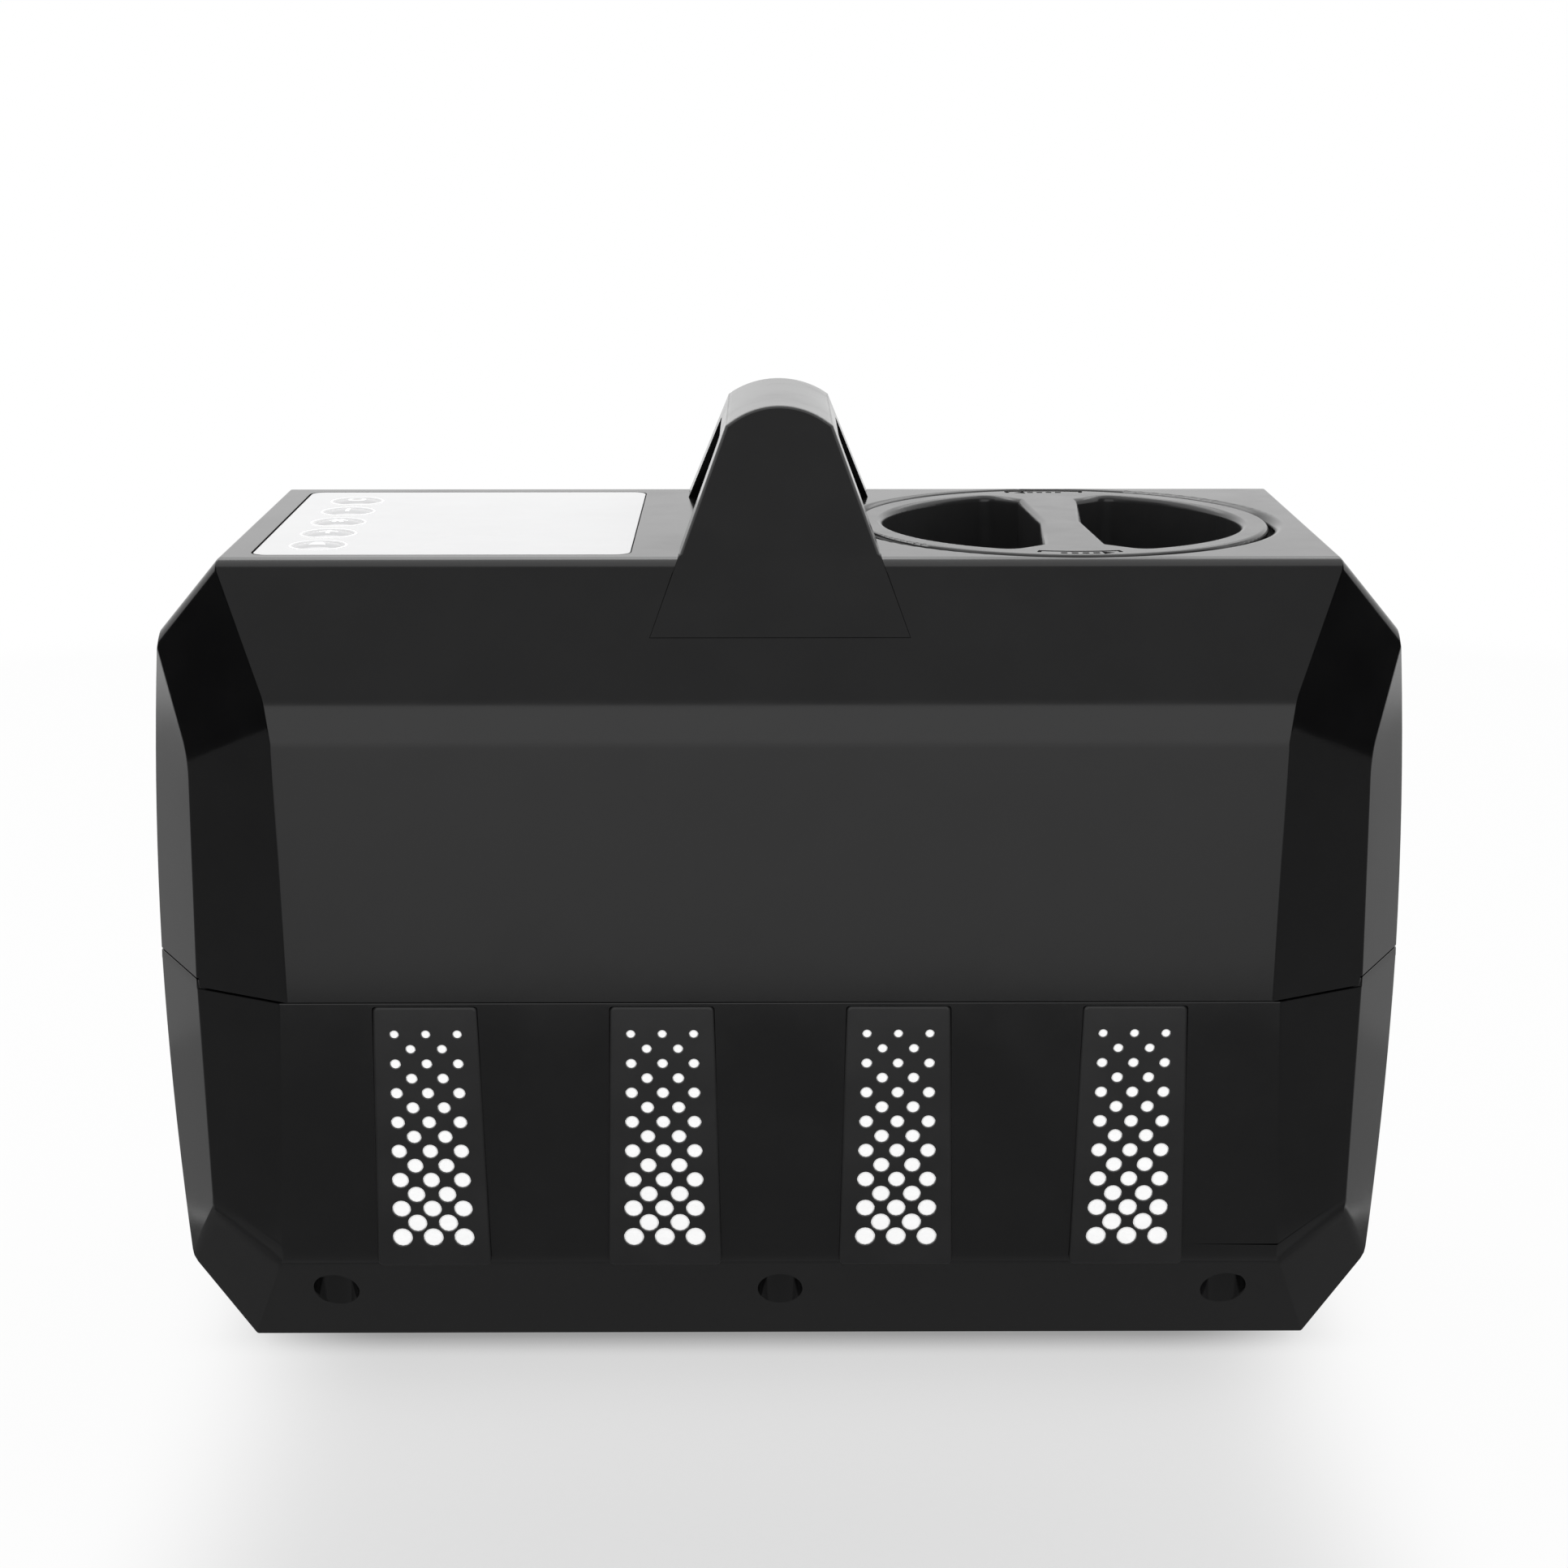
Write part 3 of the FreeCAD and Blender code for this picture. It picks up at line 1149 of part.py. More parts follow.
def heat_sink():
    """Base plate with upright fins facing the fan."""
    half, z = FAN_SIZE / 2, fan_centre_z()
    y0, y1 = fan_face_y() + FAN_T + SEAT_GAP, sink_back()
    base = box(COOLER_X - half, COOLER_X + half, y1 - SINK_BASE_T, y1, z - half, z + half)
    pitch = (FAN_SIZE - FIN_T) / (FIN_COUNT - 1)
    fins = [box(COOLER_X - half + i * pitch, COOLER_X - half + i * pitch + FIN_T, y0, y1 - SINK_BASE_T,
                z - half, z + half) for i in range(FIN_COUNT)]
    return union([base] + fins)


def thermoelectric_module():
    half, z = MODULE_SIZE / 2, fan_centre_z()
    return box(COOLER_X - half, COOLER_X + half, sink_back(), sink_back() + MODULE_T, z - half, z + half)


def block_span():
    y0 = sink_back() + MODULE_T
    return y0, y0 + BLOCK_T


def block_ports():
    return [COOLER_X + PORT_SPREAD, COOLER_X - PORT_SPREAD]


def water_block():
    """Block pressed on the module, with two ports on top."""
    half, z = BLOCK_SIZE / 2, fan_centre_z()
    y0, y1 = block_span()
    block = box(COOLER_X - half, COOLER_X + half, y0, y1, z - half, z + half)
    ports = [cylinder(PORT_R, z + half, z + half + PORT_LENGTH, x, (y0 + y1) / 2) for x in block_ports()]
    bores = [cylinder(PORT_R - TUBE_WALL, z, z + half + PORT_LENGTH + 1, x, (y0 + y1) / 2) for x in block_ports()]
    return union([block] + ports).cut(bores)


def cooler_bracket():
    """Folded sheet: a foot on the base rails, two cheeks and a shelf under the fan and sink."""
    half, z0 = FAN_SIZE / 2 + SEAT_GAP, FLOOR + RIB_T
    front, back = -BASE_HALF_Y + 2 * WALL, block_span()[1]
    shelf_top = BASE + FAN_RISE - SEAT_GAP
    out = half + BRACKET_T
    foot = box(COOLER_X - out, COOLER_X + out, front, back, z0, z0 + BRACKET_T)
    shelf = box(COOLER_X - out, COOLER_X + out, fan_face_y() + FAN_T / 2, back, shelf_top - BRACKET_T, shelf_top)
    cheek = slab_x([(front, z0), (back, z0), (back, shelf_top + FAN_SIZE / 2), (front, shelf_top + FAN_SIZE / 2),
                    (fan_face_y() + FAN_T / 2, shelf_top), (fan_face_y() + FAN_T / 2, shelf_top - BRACKET_T)],
                   COOLER_X + half, COOLER_X + out)
    other = cheek.copy()
    other.translate(Vector(-half - out, 0, 0))
    return union([foot, shelf, cheek, other])


# ---- pumps ---------------------------------------------------------------------------------------
def pump_z():
    return BASE + PUMP_RISE


def pump_housing():
    """Volute and motor can in one moulding, open towards the cover."""
    z = pump_z()
    x1 = PUMP_X - PUMP_COVER_T
    x0 = x1 - PUMP_VOLUTE_T
    volute = cylinder_x(PUMP_R, x0, x1, PUMP_Y, z)
    motor = cylinder_x(MOTOR_R, x0 - MOTOR_LENGTH, x0, PUMP_Y, z)
    neck_y = PUMP_Y + PUMP_R - PUMP_WALL - PORT_R
    neck_x = (x0 + x1) / 2
    neck = cylinder(PORT_R, z, z + PUMP_R + PORT_LENGTH, neck_x, neck_y)
    room = cylinder_x(PUMP_R - PUMP_WALL, x0 + PUMP_WALL, x1 + 1, PUMP_Y, z)
    shaft = cylinder_x(PUMP_SHAFT_R, x0, x1 - PUMP_WALL, PUMP_Y, z)
    outlet = cylinder(PORT_R - TUBE_WALL, z, z + PUMP_R + PORT_LENGTH + 1, neck_x, neck_y)
    return union([volute, motor, neck]).cut([room, outlet]).fuse(shaft).removeSplitter()


def pump_outlet():
    x = PUMP_X - PUMP_COVER_T - PUMP_VOLUTE_T / 2
    return Vector(x, PUMP_Y + PUMP_R - PUMP_WALL - PORT_R, pump_z() + PUMP_R + PORT_LENGTH)


def pump_cover():
    z = pump_z()
    disc = cylinder_x(PUMP_R, PUMP_X - PUMP_COVER_T, PUMP_X, PUMP_Y, z)
    port = cylinder_x(PORT_R, PUMP_X, PUMP_X + PORT_LENGTH, PUMP_Y, z)
    return disc.fuse(port).cut(cylinder_x(PORT_R - TUBE_WALL, PUMP_X - FAR / 4, PUMP_X + FAR / 4, PUMP_Y, z))


def pump_impeller():
    """Back plate with radial vanes on a hub that runs on the fixed shaft."""
    z = pump_z()
    x1 = PUMP_X - PUMP_COVER_T - PUMP_WALL
    x0 = PUMP_X - PUMP_COVER_T - PUMP_VOLUTE_T + PUMP_WALL + 1
    plate = cylinder_x(IMPELLER_R, x0, x0 + 2, PUMP_Y, z)
    hub = cylinder_x(IMPELLER_HUB_R, x0, x1, PUMP_Y, z)
    vane = box(x0, x1 - 1, PUMP_Y - 0.8, PUMP_Y + 0.8, z + IMPELLER_HUB_R - 1, z + IMPELLER_R)
    vanes = [turned(vane, 360 / VANE_COUNT * i, Vector(0, PUMP_Y, z), Vector(1, 0, 0)) for i in range(VANE_COUNT)]
    return union([plate, hub] + vanes).cut(cylinder_x(PUMP_SHAFT_R + SHAFT_FIT, x0 - 1, x1 + 1, PUMP_Y, z))


def pump_bracket():
    """Saddle that carries the motor can off the base."""
    x1 = PUMP_X - PUMP_COVER_T - PUMP_VOLUTE_T - 4
    x0 = x1 - MOTOR_LENGTH + 10
    block = box(x0, x1, PUMP_Y - MOTOR_R, PUMP_Y + MOTOR_R, FLOOR, pump_z() - MOTOR_R / 2)
    hollow = box(x0 - 1, x1 + 1, PUMP_Y - MOTOR_R + 4, PUMP_Y + MOTOR_R - 4, FLOOR + 4, pump_z() - MOTOR_R - 4)
    return block.cut([cylinder_x(MOTOR_R, x0 - 1, x1 + 1, PUMP_Y, pump_z()), hollow])


def air_pump_box(z0, z1, shrink):
    half_x, half_y = AIR_PUMP_LENGTH / 2 - shrink, AIR_PUMP_WIDTH / 2 - shrink
    return rounded_box(air_pump_x() - half_x, air_pump_x() + half_x, -half_y, half_y, z0, z1, 4.0)


def air_pump_x():
    return COOLER_X - AIR_PUMP_OUT


def air_pump_top():
    return FLOOR + AIR_PAD_T + AIR_PUMP_HEIGHT


def air_pump():
    """Diaphragm pump: body with a smaller head."""
    z0 = FLOOR + AIR_PAD_T
    return air_pump_box(z0, z0 + AIR_PUMP_HEIGHT * 0.6, 0).fuse(
        air_pump_box(z0 + AIR_PUMP_HEIGHT * 0.6, air_pump_top(), 3)).removeSplitter()


def air_pump_pads():
    reach_x, reach_y = AIR_PUMP_LENGTH / 2 - 7, AIR_PUMP_WIDTH / 2 - 7
    return [cylinder(5.0, FLOOR, FLOOR + AIR_PAD_T, air_pump_x() + sx * reach_x, sy * reach_y)
            for sx in (-1, 1) for sy in (-1, 1)]


def valve_block():
    """Valve body on the air pump with two solenoids and the outlet port."""
    z0 = air_pump_top()
    body = air_pump_box(z0, z0 + VALVE_HEIGHT / 2, 5)
    coils = [cylinder(7.0, z0 + VALVE_HEIGHT / 2, z0 + VALVE_HEIGHT + 4, air_pump_x(), y) for y in (-14.0, 2.0)]
    x, y = valve_port()
    port = cylinder(PORT_R, z0 + VALVE_HEIGHT / 2, z0 + VALVE_HEIGHT / 2 + PORT_LENGTH, x, y)
    return union([body, port] + coils)


def valve_port():
    return air_pump_x(), AIR_PUMP_WIDTH / 2 - 10


# ---- hose socket and power inlet -----------------------------------------------------------------
def hose_socket():
    """Socket with three ports, a release-button pocket and three tails inside."""
    y1 = socket_face_y()
    y0 = y1 - SOCKET_DEPTH
    body = socket_frame(0, y0, y1)
    flange = socket_frame(SOCKET_FLANGE, y0, y0 + WALL)
    tails = [cylinder_y(PORT_R, y0 - PORT_LENGTH, y0, x, z) for x, z in hose_port_places()]
    mouths = [cylinder_y(HOSE_PORT_R, y1 - HOSE_PORT_DEPTH, y1 + 1, x, z) for x, z in hose_port_places()]
    ducts = [cylinder_y(PORT_R - TUBE_WALL, y0 - PORT_LENGTH - 1, y1, x, z) for x, z in hose_port_places()]
    return union([body, flange] + tails).cut(mouths + ducts + [release_block(RELEASE_FIT, RELEASE_TRAVEL)])


def release_block(grow, extra):
    """Release button's envelope, grown and lengthened inwards by extra."""
    z = BASE + SOCKET_RISE + HOSE_PORT_DROP + RELEASE_LIFT
    y1 = socket_face_y() + RELEASE_PROUD
    y0 = socket_face_y() - HOSE_PORT_DEPTH + RELEASE_TRAVEL
    half_x, half_z = RELEASE_LENGTH / 2 + grow, RELEASE_HEIGHT / 2 + grow
    return rounded_box_y(SOCKET_X - half_x, SOCKET_X + half_x, y0 - extra - 2 * grow, y1, z - half_z, z + half_z,
                         2.0)


def hose_release():
    return release_block(0, 0)


def power_inlet():
    """Round inlet with a flange inside the wall and four contact slots in its floor."""
    z = BASE + SOCKET_RISE
    y1 = socket_face_y()
    y0 = y1 - INLET_BORE_DEPTH - WALL
    body = cylinder_y(INLET_R, y0, y1, INLET_X, z)
    flange = cylinder_y(INLET_FLANGE_R, y0, y0 + WALL, INLET_X, z)
    bore = cylinder_y(INLET_BORE_R, y1 - INLET_BORE_DEPTH, y1 + 1, INLET_X, z)
    reach = INLET_BORE_R / 2
    slots = [box(INLET_X + sx * reach - 1, INLET_X + sx * reach + 1, y0 + 1, y1, z + sz * reach - 1,
                 z + sz * reach + 1) for sx in (-1, 1) for sz in (-1, 1)]
    return body.fuse(flange).cut([bore] + slots)


# ---- tubes and leads -----------------------------------------------------------------------------
def route(points, bend):
    """Straight runs joined by tangent arcs."""
    edges = []
    start = points[0]
    for before, corner, after in zip(points, points[1:], points[2:]):
        back = (before - corner).normalize()
        ahead = (after - corner).normalize()
        half = back.getAngle(ahead) / 2
        reach = bend / math.tan(half)
        middle = corner + (back + ahead).normalize() * (bend / math.sin(half) - bend)
        enter, leave = corner + back * reach, corner + ahead * reach
        edges.append(Part.LineSegment(start, enter).toShape())
        edges.append(Part.Arc(enter, middle, leave).toShape())
        start = leave
    edges.append(Part.LineSegment(start, points[-1]).toShape())
    return Part.Wire(edges)


def tube(points, r_out, r_in, bend=TUBE_BEND_R):
    """Tube, or rod where r_in is 0, swept along a route."""
    way = route(points, bend)
    start, heading = points[0], (points[1] - points[0]).normalize()
    rim = Part.Face(Part.Wire(Part.makeCircle(r_out, start, heading)))
    if r_in > 0:
        rim = rim.cut(Part.Face(Part.Wire(Part.makeCircle(r_in, start, heading)))).Faces[0]
    return way.makePipe(rim)


def fitted(points):
    """Water or air tube pushed over its ports."""
    return tube(points, PORT_R + TUBE_WALL, PORT_R + 0.02)


def suction_tube():
    y, z = suction_place()
    x0, x1 = PUMP_X + 2, tank_side() - 2
    return cylinder_x(PORT_R + TUBE_WALL, x0, x1, y, z).cut(cylinder_x(PORT_R + 0.02, x0, x1, y, z))


def block_port_top():
    y0, y1 = block_span()
    return (y0 + y1) / 2, fan_centre_z() + BLOCK_SIZE / 2 + 2


def delivery_level():
    return fan_centre_z() + BLOCK_SIZE / 2 + PORT_LENGTH + CROSSING_GAP


def delivery_tube():
    """Pump outlet to the water block."""
    start = pump_outlet() - Vector(0, 0, PORT_LENGTH - 2)
    y, z = block_port_top()
    x = block_ports()[0]
    level = delivery_level()
    return fitted([start, Vector(start.x, start.y, level), Vector(x, y, level), Vector(x, y, z)])


def socket_tail(i):
    x, z = hose_port_places()[i]
    return Vector(x, socket_face_y() - SOCKET_DEPTH - 2, z)


def supply_tube():
    """Water block to the middle port of the hose socket."""
    y, z = block_port_top()
    x = block_ports()[1]
    level = delivery_level() + CROSSING_GAP
    end = socket_tail(1)
    drop_y = end.y - PORT_LENGTH - TUBE_BEND_R
    return fitted([Vector(x, y, z), Vector(x, y, level), Vector(end.x, drop_y, level),
                   Vector(end.x, drop_y, end.z), end])


def return_tube():
    """Inner port of the hose socket back to the tank."""
    start = socket_tail(2)
    y, z = return_place()
    drop_y = start.y - PORT_LENGTH - TUBE_BEND_R
    side = tank_side() - PORT_LENGTH
    return fitted([start, Vector(start.x, drop_y, start.z), Vector(start.x, drop_y, z),
                   Vector(side - 4 * TUBE_BEND_R, y, z), Vector(tank_side() - 2, y, z)])


def air_tube():
    """Valve block to the outer port of the hose socket."""
    x, y = valve_port()
    z = air_pump_top() + VALVE_HEIGHT / 2 + 2
    end = socket_tail(0)
    drop_y = end.y - PORT_LENGTH - TUBE_BEND_R
    level = z + 2.6 * TUBE_BEND_R
    return fitted([Vector(x, y, z), Vector(x, y, level), Vector(end.x, drop_y, level), Vector(end.x, drop_y, end.z),
                   end])


def power_lead():
    """Lead from the power inlet up to the control board."""
    start = Vector(INLET_X, socket_face_y() - INLET_BORE_DEPTH - WALL, BASE + SOCKET_RISE)
    y = PANEL_Y + PANEL_WIDTH / 2 - BOARD_INSET - 2 * BOARD_BOSS_R
    top = control_level()
    return tube([start, Vector(start.x, y, start.z), Vector(start.x, y, top)], LEAD_R, 0)


# ---- write every piece -----------------------------------------------------------------------------
def solids_of(made):
    """A node is one solid, or a group of separate ones."""
    if isinstance(made, list):
        return Part.makeCompound(made)
    return made.Solids[0] if len(made.Solids) == 1 else made


def pieces():
    made = {
        "upper_housing": upper_housing, "lower_housing": lower_housing, "carry_handle": carry_handle,
        "handle_screws": handle_screws, "display_panel": display_panel, "display_board": display_board,
        "control_board": control_board, "board_spacers": board_spacers, "display_ribbon": display_ribbon,
        "lid_cap": lid_cap, "lid_base": lid_base, "lid_gasket": lid_gasket, "tank_collar": tank_collar,
        "reservoir_tank": reservoir_tank, "tank_insulation": tank_insulation, "tank_cradle": tank_cradle,
        "tank_seal": tank_seal, "temperature_probe": temperature_probe, "fan_frame": fan_frame,
        "fan_rotor": fan_rotor, "heat_sink": heat_sink, "thermoelectric_module": thermoelectric_module,
        "water_block": water_block, "cooler_bracket": cooler_bracket, "pump_housing": pump_housing,
        "pump_cover": pump_cover, "pump_impeller": pump_impeller, "pump_bracket": pump_bracket,
        "air_pump": air_pump, "air_pump_pads": air_pump_pads, "valve_block": valve_block,
        "hose_socket": hose_socket, "hose_release": hose_release, "power_inlet": power_inlet,
        "power_lead": power_lead, "suction_tube": suction_tube, "delivery_tube": delivery_tube,
        "supply_tube": supply_tube, "return_tube": return_tube, "air_tube": air_tube,
    }
    for name, build in made.items():
        yield name, build()
    for i, (x, y) in enumerate(reversed(button_places()), start=1):
        yield "button_%d" % i, button(x, y)
    for i, x in enumerate(vent_centres(), start=1):
        yield "vent_grille_%d" % i, vent_grille(x)
    yield "vent_filters", [vent_filter(x) for x in vent_centres()]
    yield "base_screws", [base_screw(x, y) for x, y in screw_wells()]
    yield "rubber_feet", [rubber_foot(x, y) for x, y in foot_places()]


def main():
    os.makedirs("parts", exist_ok=True)
    for name, made in pieces():
        shape = solids_of(made)
        shape.exportStep(os.path.join("parts", name + ".step"))
        print("%-22s solids %d valid %s volume %.0f" % (name, len(shape.Solids), shape.isValid(), shape.Volume))


main()
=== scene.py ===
"""Looks of the hot and cold therapy machine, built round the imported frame."""

import json
import logging
from math import atan2, copysign, cos, hypot, pi, radians, sin, sqrt
from dataclasses import dataclass
from enum import Enum
from typing import Callable, Dict, Iterable, List, Optional, Sequence, Tuple

import bmesh
import bpy
from mathutils import Matrix, Vector


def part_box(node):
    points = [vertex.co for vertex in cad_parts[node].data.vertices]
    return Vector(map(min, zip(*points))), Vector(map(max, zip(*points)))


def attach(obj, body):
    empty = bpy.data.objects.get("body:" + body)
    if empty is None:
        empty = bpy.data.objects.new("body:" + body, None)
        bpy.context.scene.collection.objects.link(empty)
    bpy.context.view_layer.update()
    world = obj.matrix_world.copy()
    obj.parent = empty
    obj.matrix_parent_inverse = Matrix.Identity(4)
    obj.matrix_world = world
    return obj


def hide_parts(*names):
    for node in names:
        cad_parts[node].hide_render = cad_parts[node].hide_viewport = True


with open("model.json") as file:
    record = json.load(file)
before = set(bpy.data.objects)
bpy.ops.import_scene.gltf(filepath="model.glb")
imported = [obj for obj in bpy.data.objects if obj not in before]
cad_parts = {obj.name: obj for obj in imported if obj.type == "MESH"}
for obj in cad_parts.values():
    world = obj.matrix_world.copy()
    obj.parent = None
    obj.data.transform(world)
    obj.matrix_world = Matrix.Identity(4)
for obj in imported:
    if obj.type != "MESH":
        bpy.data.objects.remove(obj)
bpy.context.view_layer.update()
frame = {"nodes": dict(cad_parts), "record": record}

MM = 0.001
TOUCH = 0.01 * MM  # how near two places are to count as one
Pair = Tuple[float, float]
Spot = Tuple[float, float, float]
Node = bpy.types.Node
Socket = bpy.types.NodeSocket
Shape = bmesh.types.BMesh
Edge = bmesh.types.BMEdge
Piece = bpy.types.Object
log = logging.getLogger("machine")


# ---- node trees ----
class Tree:
    """A node tree with short calls for adding and joining nodes."""

    def __init__(self, tree: bpy.types.NodeTree) -> None:
        """Wraps the node tree that nodes are added to."""
        self.nodes, self.links = tree.nodes, tree.links

    def add(self, kind: str, inputs: Optional[Dict[object, object]] = None,
            **settings: object) -> Node:
        """Adds one node.

        Args:
            kind: The node's type name.
            inputs: What its inputs get, as for feed.
            **settings: Properties of the node to set.

        Returns:
            The new node.
        """
        node = self.nodes.new(kind)
        for key, value in settings.items():
            setattr(node, key, value)
        self.feed(node, inputs or {})
        return node

    def feed(self, node: Node, inputs: Dict[object, object]) -> None:
        """Gives inputs of a node their links and constants.

        Args:
            node: The node whose inputs are set.
            inputs: An output to link or a constant, by the input's name or index.
        """
        for key, value in inputs.items():
            if isinstance(value, Socket):
                self.links.new(value, node.inputs[key])
            else:
                node.inputs[key].default_value = value

    def math(self, operation: str, a: object, b: object = 0.0, clamp: bool = False) -> Socket:
        """Adds a Math node; clamp holds its result between 0 and 1."""
        node = self.add("ShaderNodeMath", {0: a, 1: b}, operation=operation, use_clamp=clamp)
        return node.outputs[0]

    def noise(self, where: Socket, scale: object, detail: float, roughness: float) -> Socket:
        """Adds a noise texture, whose value is about 0.5 on average."""
        inputs = {"Vector": where, "Scale": scale, "Detail": detail, "Roughness": roughness}
        return self.add("ShaderNodeTexNoise", inputs).outputs["Fac"]

    def ramp(self, value: Socket, low: float, high: float, to_low: object = 0.0,
             to_high: object = 1.0) -> Socket:
        """Adds a smooth step.

        Args:
            value: What it reads.
            low: Where it starts.
            high: Where it ends.
            to_low: Its result at the start.
            to_high: Its result at the end.

        Returns:
            The result's socket.
        """
        inputs = {"Value": value, "From Min": low, "From Max": high, "To Min": to_low,
                  "To Max": to_high}
        return self.add("ShaderNodeMapRange", inputs,
                        interpolation_type="SMOOTHSTEP").outputs["Result"]

    def mix(self, factor: object, a: object, b: object) -> Socket:
        """Adds a mix of two colours, each three numbers or a socket."""
        a, b = (each if isinstance(each, Socket) else (*each, 1.0) for each in (a, b))
        return self.add("ShaderNodeMix", {0: factor, 6: a, 7: b}, data_type="RGBA").outputs[2]

    def where(self, kind: str = "Object") -> Socket:
        """Adds texture coordinates of a kind."""
        return self.add("ShaderNodeTexCoord").outputs[kind]

    def ray(self, kind: str) -> Socket:
        """Adds a test for camera, glossy or transmission rays."""
        return self.add("ShaderNodeLightPath").outputs[f"Is {kind} Ray"]

    def seen(self) -> Socket:
        """Adds a test for the rays that show the background, and don't only light the object."""
        mirrored = self.math("MAXIMUM", self.ray("Glossy"), self.ray("Transmission"))
        return self.math("MAXIMUM", self.ray("Camera"), mirrored)

    def axes(self, vector: Socket) -> Sequence[Socket]:
        """Splits a vector into X, Y and Z."""
        return self.add("ShaderNodeSeparateXYZ", {0: vector}).outputs

    def place(self, effect: "Effect", amount: float) -> Sequence[Socket]:
        """Places a shared effect and gives its outputs."""
        group = EffectTree.group(effect)
        return self.add("ShaderNodeGroup", {0: amount}, node_tree=group).outputs


class Effect(Enum):
    """Shared surface effects: group name, input, its default and the outputs."""

    GRAIN = ("moulded_grain", "Size", 2600.0, "Height", "Mottle")
    HANDLING = ("handling_marks", "Spread", 22.0, "Smudge", "Rub")
    DUST = ("settled_dust", "Amount", 0.1, "Mask")
    BRUSH = ("brushed_lines", "Fineness", 900.0, "Height", "Streak")
    WEAVE = ("fibre_weave", "Threads", 700.0, "Height", "Shade")
    CELLS = ("foam_cells", "Density", 800.0, "Height", "Shade")


class EffectTree(Tree):
    """The inside of a shared node group; the method named after an effect gives its outputs."""

    made: Dict[Effect, bpy.types.NodeTree] = {}

    def __init__(self, group: bpy.types.NodeTree) -> None:
        """Starts the tree of a group whose sockets are there."""
        super().__init__(group)
        self.spot, self.amount = self.where(), self.add("NodeGroupInput").outputs[0]

    @classmethod
    def group(cls, effect: Effect) -> bpy.types.NodeTree:
        """Gives the node group of an effect, made on first use.

        Args:
            effect: The effect.

        Returns:
            Its node group.
        """
        if effect not in cls.made:
            name, given, default, *results = effect.value
            cls.made[effect] = group = bpy.data.node_groups.new(name, "ShaderNodeTree")
            for socket in (given, *results):
                group.interface.new_socket(
                    name=socket, in_out="INPUT" if socket == given else "OUTPUT",
                    socket_type="NodeSocketFloat").default_value = default
            tree = cls(group)
            outputs = getattr(tree, effect.name.lower())()
            tree.add("NodeGroupOutput", dict(enumerate(outputs)))
        return cls.made[effect]

    def grain(self) -> Sequence[Socket]:
        """Fine spark-eroded grain with a slow mottle.

        Returns:
            Height and mottle.
        """
        fine = self.noise(self.spot, self.amount, 3.0, 0.65)
        coarse = self.noise(self.spot, self.math("DIVIDE", self.amount, 5.0), 2.0, 0.5)
        height = self.math("ADD", self.math("MULTIPLY", fine, 0.75),
                           self.math("MULTIPLY", coarse, 0.25))
        mottle = self.noise(self.spot, self.math("DIVIDE", self.amount, 60.0), 4.0, 0.6)
        return height, self.ramp(mottle, 0.3, 0.7)

    def handling(self) -> Sequence[Socket]:
        """Faint finger smudges and light rub marks.

        Returns:
            Smudges and marks.
        """
        smudge = self.noise(self.spot, self.amount, 5.0, 0.55)
        rub = self.noise(self.stretched((14.0, 420.0, 60.0), (0.3, 0.5, 0.7)), 2.4, 3.0, 0.6)
        return self.ramp(smudge, 0.48, 0.72), self.ramp(rub, 0.68, 0.80)

    def dust(self) -> Sequence[Socket]:
        """Thin dust on faces that look up.

        Returns:
            The dust.
        """
        normal = self.add("ShaderNodeNewGeometry").outputs["Normal"]
        specks = self.ramp(self.noise(self.spot, 900.0, 4.0, 0.7), 0.5, 0.75)
        lying = self.math("MULTIPLY", self.ramp(self.axes(normal)[2], 0.6, 1.0), specks)
        return [self.math("MULTIPLY", lying, self.amount, clamp=True)]

    def brush(self) -> Sequence[Socket]:
        """Fine parallel lines along X."""
        lines = self.noise(self.stretched((0.03, 1.0, 1.0)), self.amount, 4.0, 0.7)
        return lines, self.ramp(lines, 0.3, 0.7)

    def weave(self) -> Sequence[Socket]:
        """Loose fibres crossing in two directions.

        Returns:
            Height and tone.
        """
        height = self.math("MAXIMUM", *(
            self.noise(self.stretched((0.16, 1.0, 1.0), (0.0, turn, 0.0)), self.amount, 3.0, 0.6)
            for turn in (0.5, -0.6)))
        return height, self.ramp(height, 0.4, 0.75)

    def cells(self) -> Sequence[Socket]:
        """Closed foam cells."""
        voronoi = self.add("ShaderNodeTexVoronoi", {"Vector": self.spot, "Scale": self.amount})
        return voronoi.outputs["Distance"], self.ramp(voronoi.outputs["Distance"], 0.1, 0.7)

    def stretched(self, scale: Spot, turn: Spot = (0.0, 0.0, 0.0)) -> Socket:
        """Turns and scales the object's coordinates."""
        inputs = {"Vector": self.spot, "Rotation": turn, "Scale": scale}
        return self.add("ShaderNodeMapping", inputs).outputs[0]


def new_material(name: str) -> Tuple[bpy.types.Material, Tree, Node]:
    """Starts a material.

    Args:
        name: Its name.

    Returns:
        The material, its tree and its Principled BSDF.
    """
    material = bpy.data.materials.new(name)
    material.use_nodes = True
    return material, Tree(material.node_tree), material.node_tree.nodes["Principled BSDF"]


# ---- finishes ----
DUST_COLOUR = (0.30, 0.30, 0.29)
DUST_ROUGHNESS = 0.4
SMUDGE_SPREAD = 22.0


